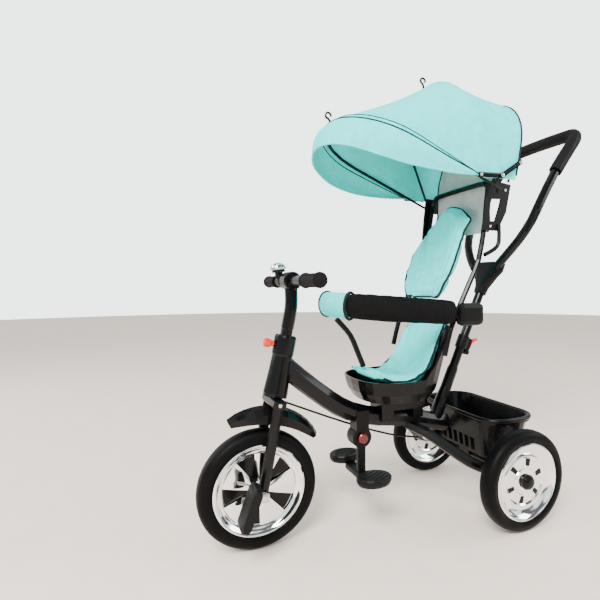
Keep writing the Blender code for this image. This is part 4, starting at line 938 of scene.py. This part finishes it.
# %% Grips with ribs and flanges
RAKE = math.radians(11)
STEERING = Matrix.Translation(FRONT_HUB) @ Matrix.Rotation(-RAKE, 4, "X")
bar_centre = STEERING @ Vector((0, -0.012, 0.449))
grip_outline = [(0.0113, 0.103), (0.0148, 0.103), (0.0157, 0.1042), (0.0157, 0.1062), (0.0148, 0.1076), (0.0130, 0.1085)]
for rib in range(12):
    start = 0.1105 + rib * 0.0056
    grip_outline += [(0.0127, start), (0.0137, start + 0.0012), (0.0137, start + 0.0034), (0.0127, start + 0.0046)]
grip_outline += [(0.0130, 0.1795), (0.0145, 0.1806), (0.0152, 0.1822), (0.0152, 0.1846), (0.0144, 0.1858), (0.0100, 0.1858),
                 (0.0080, 0.1868), (0, 0.1868), (0, 0.1834), (0.0113, 0.1834)]
for side, word in ((1, "left"), (-1, "right")):
    shape = spun([(r, side * x) for r, x in grip_outline], 40, Matrix.Translation(bar_centre))
    grip = piece(f"ribbed_grip_{word}", shape, foam_black, "steerer", "foam_black")
    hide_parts(f"grip_{word}")
print("grips on the bar at", [round(value, 3) for value in bar_centre])

# %% Foot plate ribs
ribs = []
for side in (1, -1):
    for index in range(6):
        offset = -0.0245 + index * 0.0098
        half = 0.026 * math.sqrt(max(1 - (offset / 0.034) ** 2, 0.05))
        centre = Vector((side * 0.080 + offset * 0.75, -0.121 + offset * 0.65 * side, 0.1398))
        way = Vector((-0.55 * side, 0.83, 0)).normalized()
        ribs.append(tube_mesh([centre - way * half, centre - way * half * 0.9, centre + way * half * 0.9, centre + way * half],
                              0.0022, 0.0016, 8, (0, 0, 1), [0.3, 1, 1, 0.3]))
piece("foot_plate_ribs", gather(ribs), satin_black, "foot_bar", "shell")
print(len(ribs), "ribs")

# %% Basket rim and seat lip ribs
low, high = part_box("basket")
corner, inset = 0.0555, 0.0025
rim_line = []
for cx, cy, start in ((high.x - corner, high.y - corner, 0), (low.x + corner, high.y - corner, 90),
                      (low.x + corner, low.y + corner, 180), (high.x - corner, low.y + corner, 270)):
    for step in range(7):
        turn = math.radians(start + 15 * step)
        reach = corner - inset
        rim_line.append(Vector((cx + reach * math.cos(turn), cy + reach * math.sin(turn), high.z - 0.002)))
rim_line = evenly(rim_line + [rim_line[0]], 120)
piece("basket_rolled_rim", tube_mesh(rim_line, 0.0050, 0.0050, 12, (0.01, 0.02, 1)), gloss_black, "chassis", "shell")
lip_ribs = []
for index in range(17):
    turn = math.pi + math.pi * (index + 0.5) / 17
    c, s = math.cos(turn), math.sin(turn)
    out = Vector((math.copysign(abs(c) ** 0.75, c), math.copysign(abs(s) ** 0.75, s), 0))
    foot = Vector((0.0900 * out.x, -0.035 + 0.0870 * out.y, 0.2985))
    top = Vector((0.1045 * out.x, -0.035 + 0.1020 * out.y, 0.3300))
    lip_ribs.append(tube_mesh([foot, foot.lerp(top, 0.5), top], 0.0022, 0.0022, 8, (c, s, 0.4), [0.5, 1, 0.6]))
piece("seat_lip_ribs", gather(lip_ribs), gloss_black, "chassis", "shell")
print(len(lip_ribs), "ribs under the lip")


# %% Rivets and screws
def rivet(centre, side, radius=0.0042):
    """A domed rivet head that faces sideways."""
    outline = [(0, 0), (radius, 0), (radius * 0.95, 0.0008), (radius * 0.6, 0.0017), (0, 0.0021)]
    return spun([(r, side * x) for r, x in outline], 20, Matrix.Translation(centre))


link_a = FOLD + front_way * 0.0694
link_b, link_c = Vector((0, 0.163, 0.8110)), Vector((0, 0.2163, 0.846))
for side, word in ((1, "left"), (-1, "right")):
    out = Vector((side, 0, 0))
    piece(f"front_link_rivet_{word}", rivet(link_a + out * 0.1624, side), bare_steel, f"link_f{word[0]}", "steel")
    pair = [rivet(link_b + out * 0.1661, side, 0.005), rivet(link_c + out * 0.1661, side)]
    piece(f"rear_link_rivets_{word}", gather(pair), bare_steel, f"link_r{word[0]}", "steel")
    piece(f"bracket_screws_{word}", gather([rivet(Vector((side * 0.1291, 0.160, 0.700)), side, 0.0035),
                                            rivet(Vector((side * 0.1291, 0.205, 0.788)), side, 0.0035)]),
          bare_steel, "chassis", "steel")
screws = [rivet(STEERING @ Vector((side * 0.0518, 0, 0.187)), side, 0.0040) for side in (1, -1)]
nuts = [rivet(FRONT_HUB + Vector((side * 0.0500, 0, 0)), side, 0.0095) for side in (1, -1)]
piece("crown_screws", gather(screws), bare_steel, "steerer", "steel")
piece("hub_nuts", gather(nuts), bare_steel, "steerer", "steel")
print("rivets in place")

# %% [markdown]
# ## Floor and lamps
#
# A warm, pale floor and a pale room give the plating its bright parts.  The room is an even tone
# where it lights the tricycle and a brighter one behind it.  Shiny surfaces see patches of light and
# dark instead, so that plating and black paint have contrast.  The big key panel is to the front
# left, high enough for the peak to shade the seat.

# %% Lay the floor and place the lamps
floor_finish = grained("pale floor", (0.93, 0.79, 0.69), 0.60, scale=120, depth=0.00004, lift=1.05)
bm = bmesh.new()
bmesh.ops.create_circle(bm, cap_ends=True, radius=9.0, segments=96)
bmesh.ops.transform(bm, matrix=Matrix.Translation((0, 0, -0.0005)), verts=bm.verts)
mesh = bpy.data.meshes.new("floor")
bm.to_mesh(mesh)
bm.free()
mesh.materials.append(floor_finish)
floor = bpy.data.objects.new("floor", mesh)
bpy.context.scene.collection.objects.link(floor)

world = bpy.data.worlds.new("pale room")
bpy.context.scene.world = world
world.use_nodes = True
air = world.node_tree
air.nodes["Background"].inputs["Color"].default_value = (0.90, 0.95, 0.94, 1)
ray = add(air, "ShaderNodeLightPath")
patches = add(air, "ShaderNodeTexNoise", in_Scale=2.2, in_Detail=1.0)
contrast = add(air, "ShaderNodeMapRange", in_From_Min=0.44, in_From_Max=0.56, in_To_Min=0.18, in_To_Max=1.6)
shine = add(air, "ShaderNodeMix")
seen = add(air, "ShaderNodeMix")
shine.inputs["A"].default_value, seen.inputs["B"].default_value = 1.3, 3.8
air.links.new(add(air, "ShaderNodeTexCoord").outputs["Generated"], patches.inputs["Vector"])
air.links.new(patches.outputs["Fac"], contrast.inputs["Value"])
air.links.new(ray.outputs["Is Glossy Ray"], shine.inputs["Factor"])
air.links.new(contrast.outputs["Result"], shine.inputs["B"])
air.links.new(ray.outputs["Is Camera Ray"], seen.inputs["Factor"])
air.links.new(shine.outputs["Result"], seen.inputs["A"])
air.links.new(seen.outputs["Result"], air.nodes["Background"].inputs["Strength"])


def panel_lamp(name, place, aim, size, power, tint=(1, 1, 1)):
    """A square soft lamp that looks at a point."""
    lamp = bpy.data.lights.new(name, "AREA")
    lamp.shape, lamp.size, lamp.energy, lamp.color = "SQUARE", size, power, tint
    thing = bpy.data.objects.new(name, lamp)
    turn = (Vector(aim) - Vector(place)).to_track_quat("-Z", "Y")
    thing.matrix_world = Matrix.Translation(place) @ turn.to_matrix().to_4x4()
    bpy.context.scene.collection.objects.link(thing)


panel_lamp("key", (1.9, -1.7, 2.6), (0, 0, 0.5), 1.3, 190, (1, 0.98, 0.95))
panel_lamp("side", (-1.6, -2.4, 1.5), (0, 0, 0.5), 1.6, 34)
panel_lamp("back", (1.4, 2.4, 1.8), (0, 0, 0.6), 1.4, 42)
print("lamps placed")
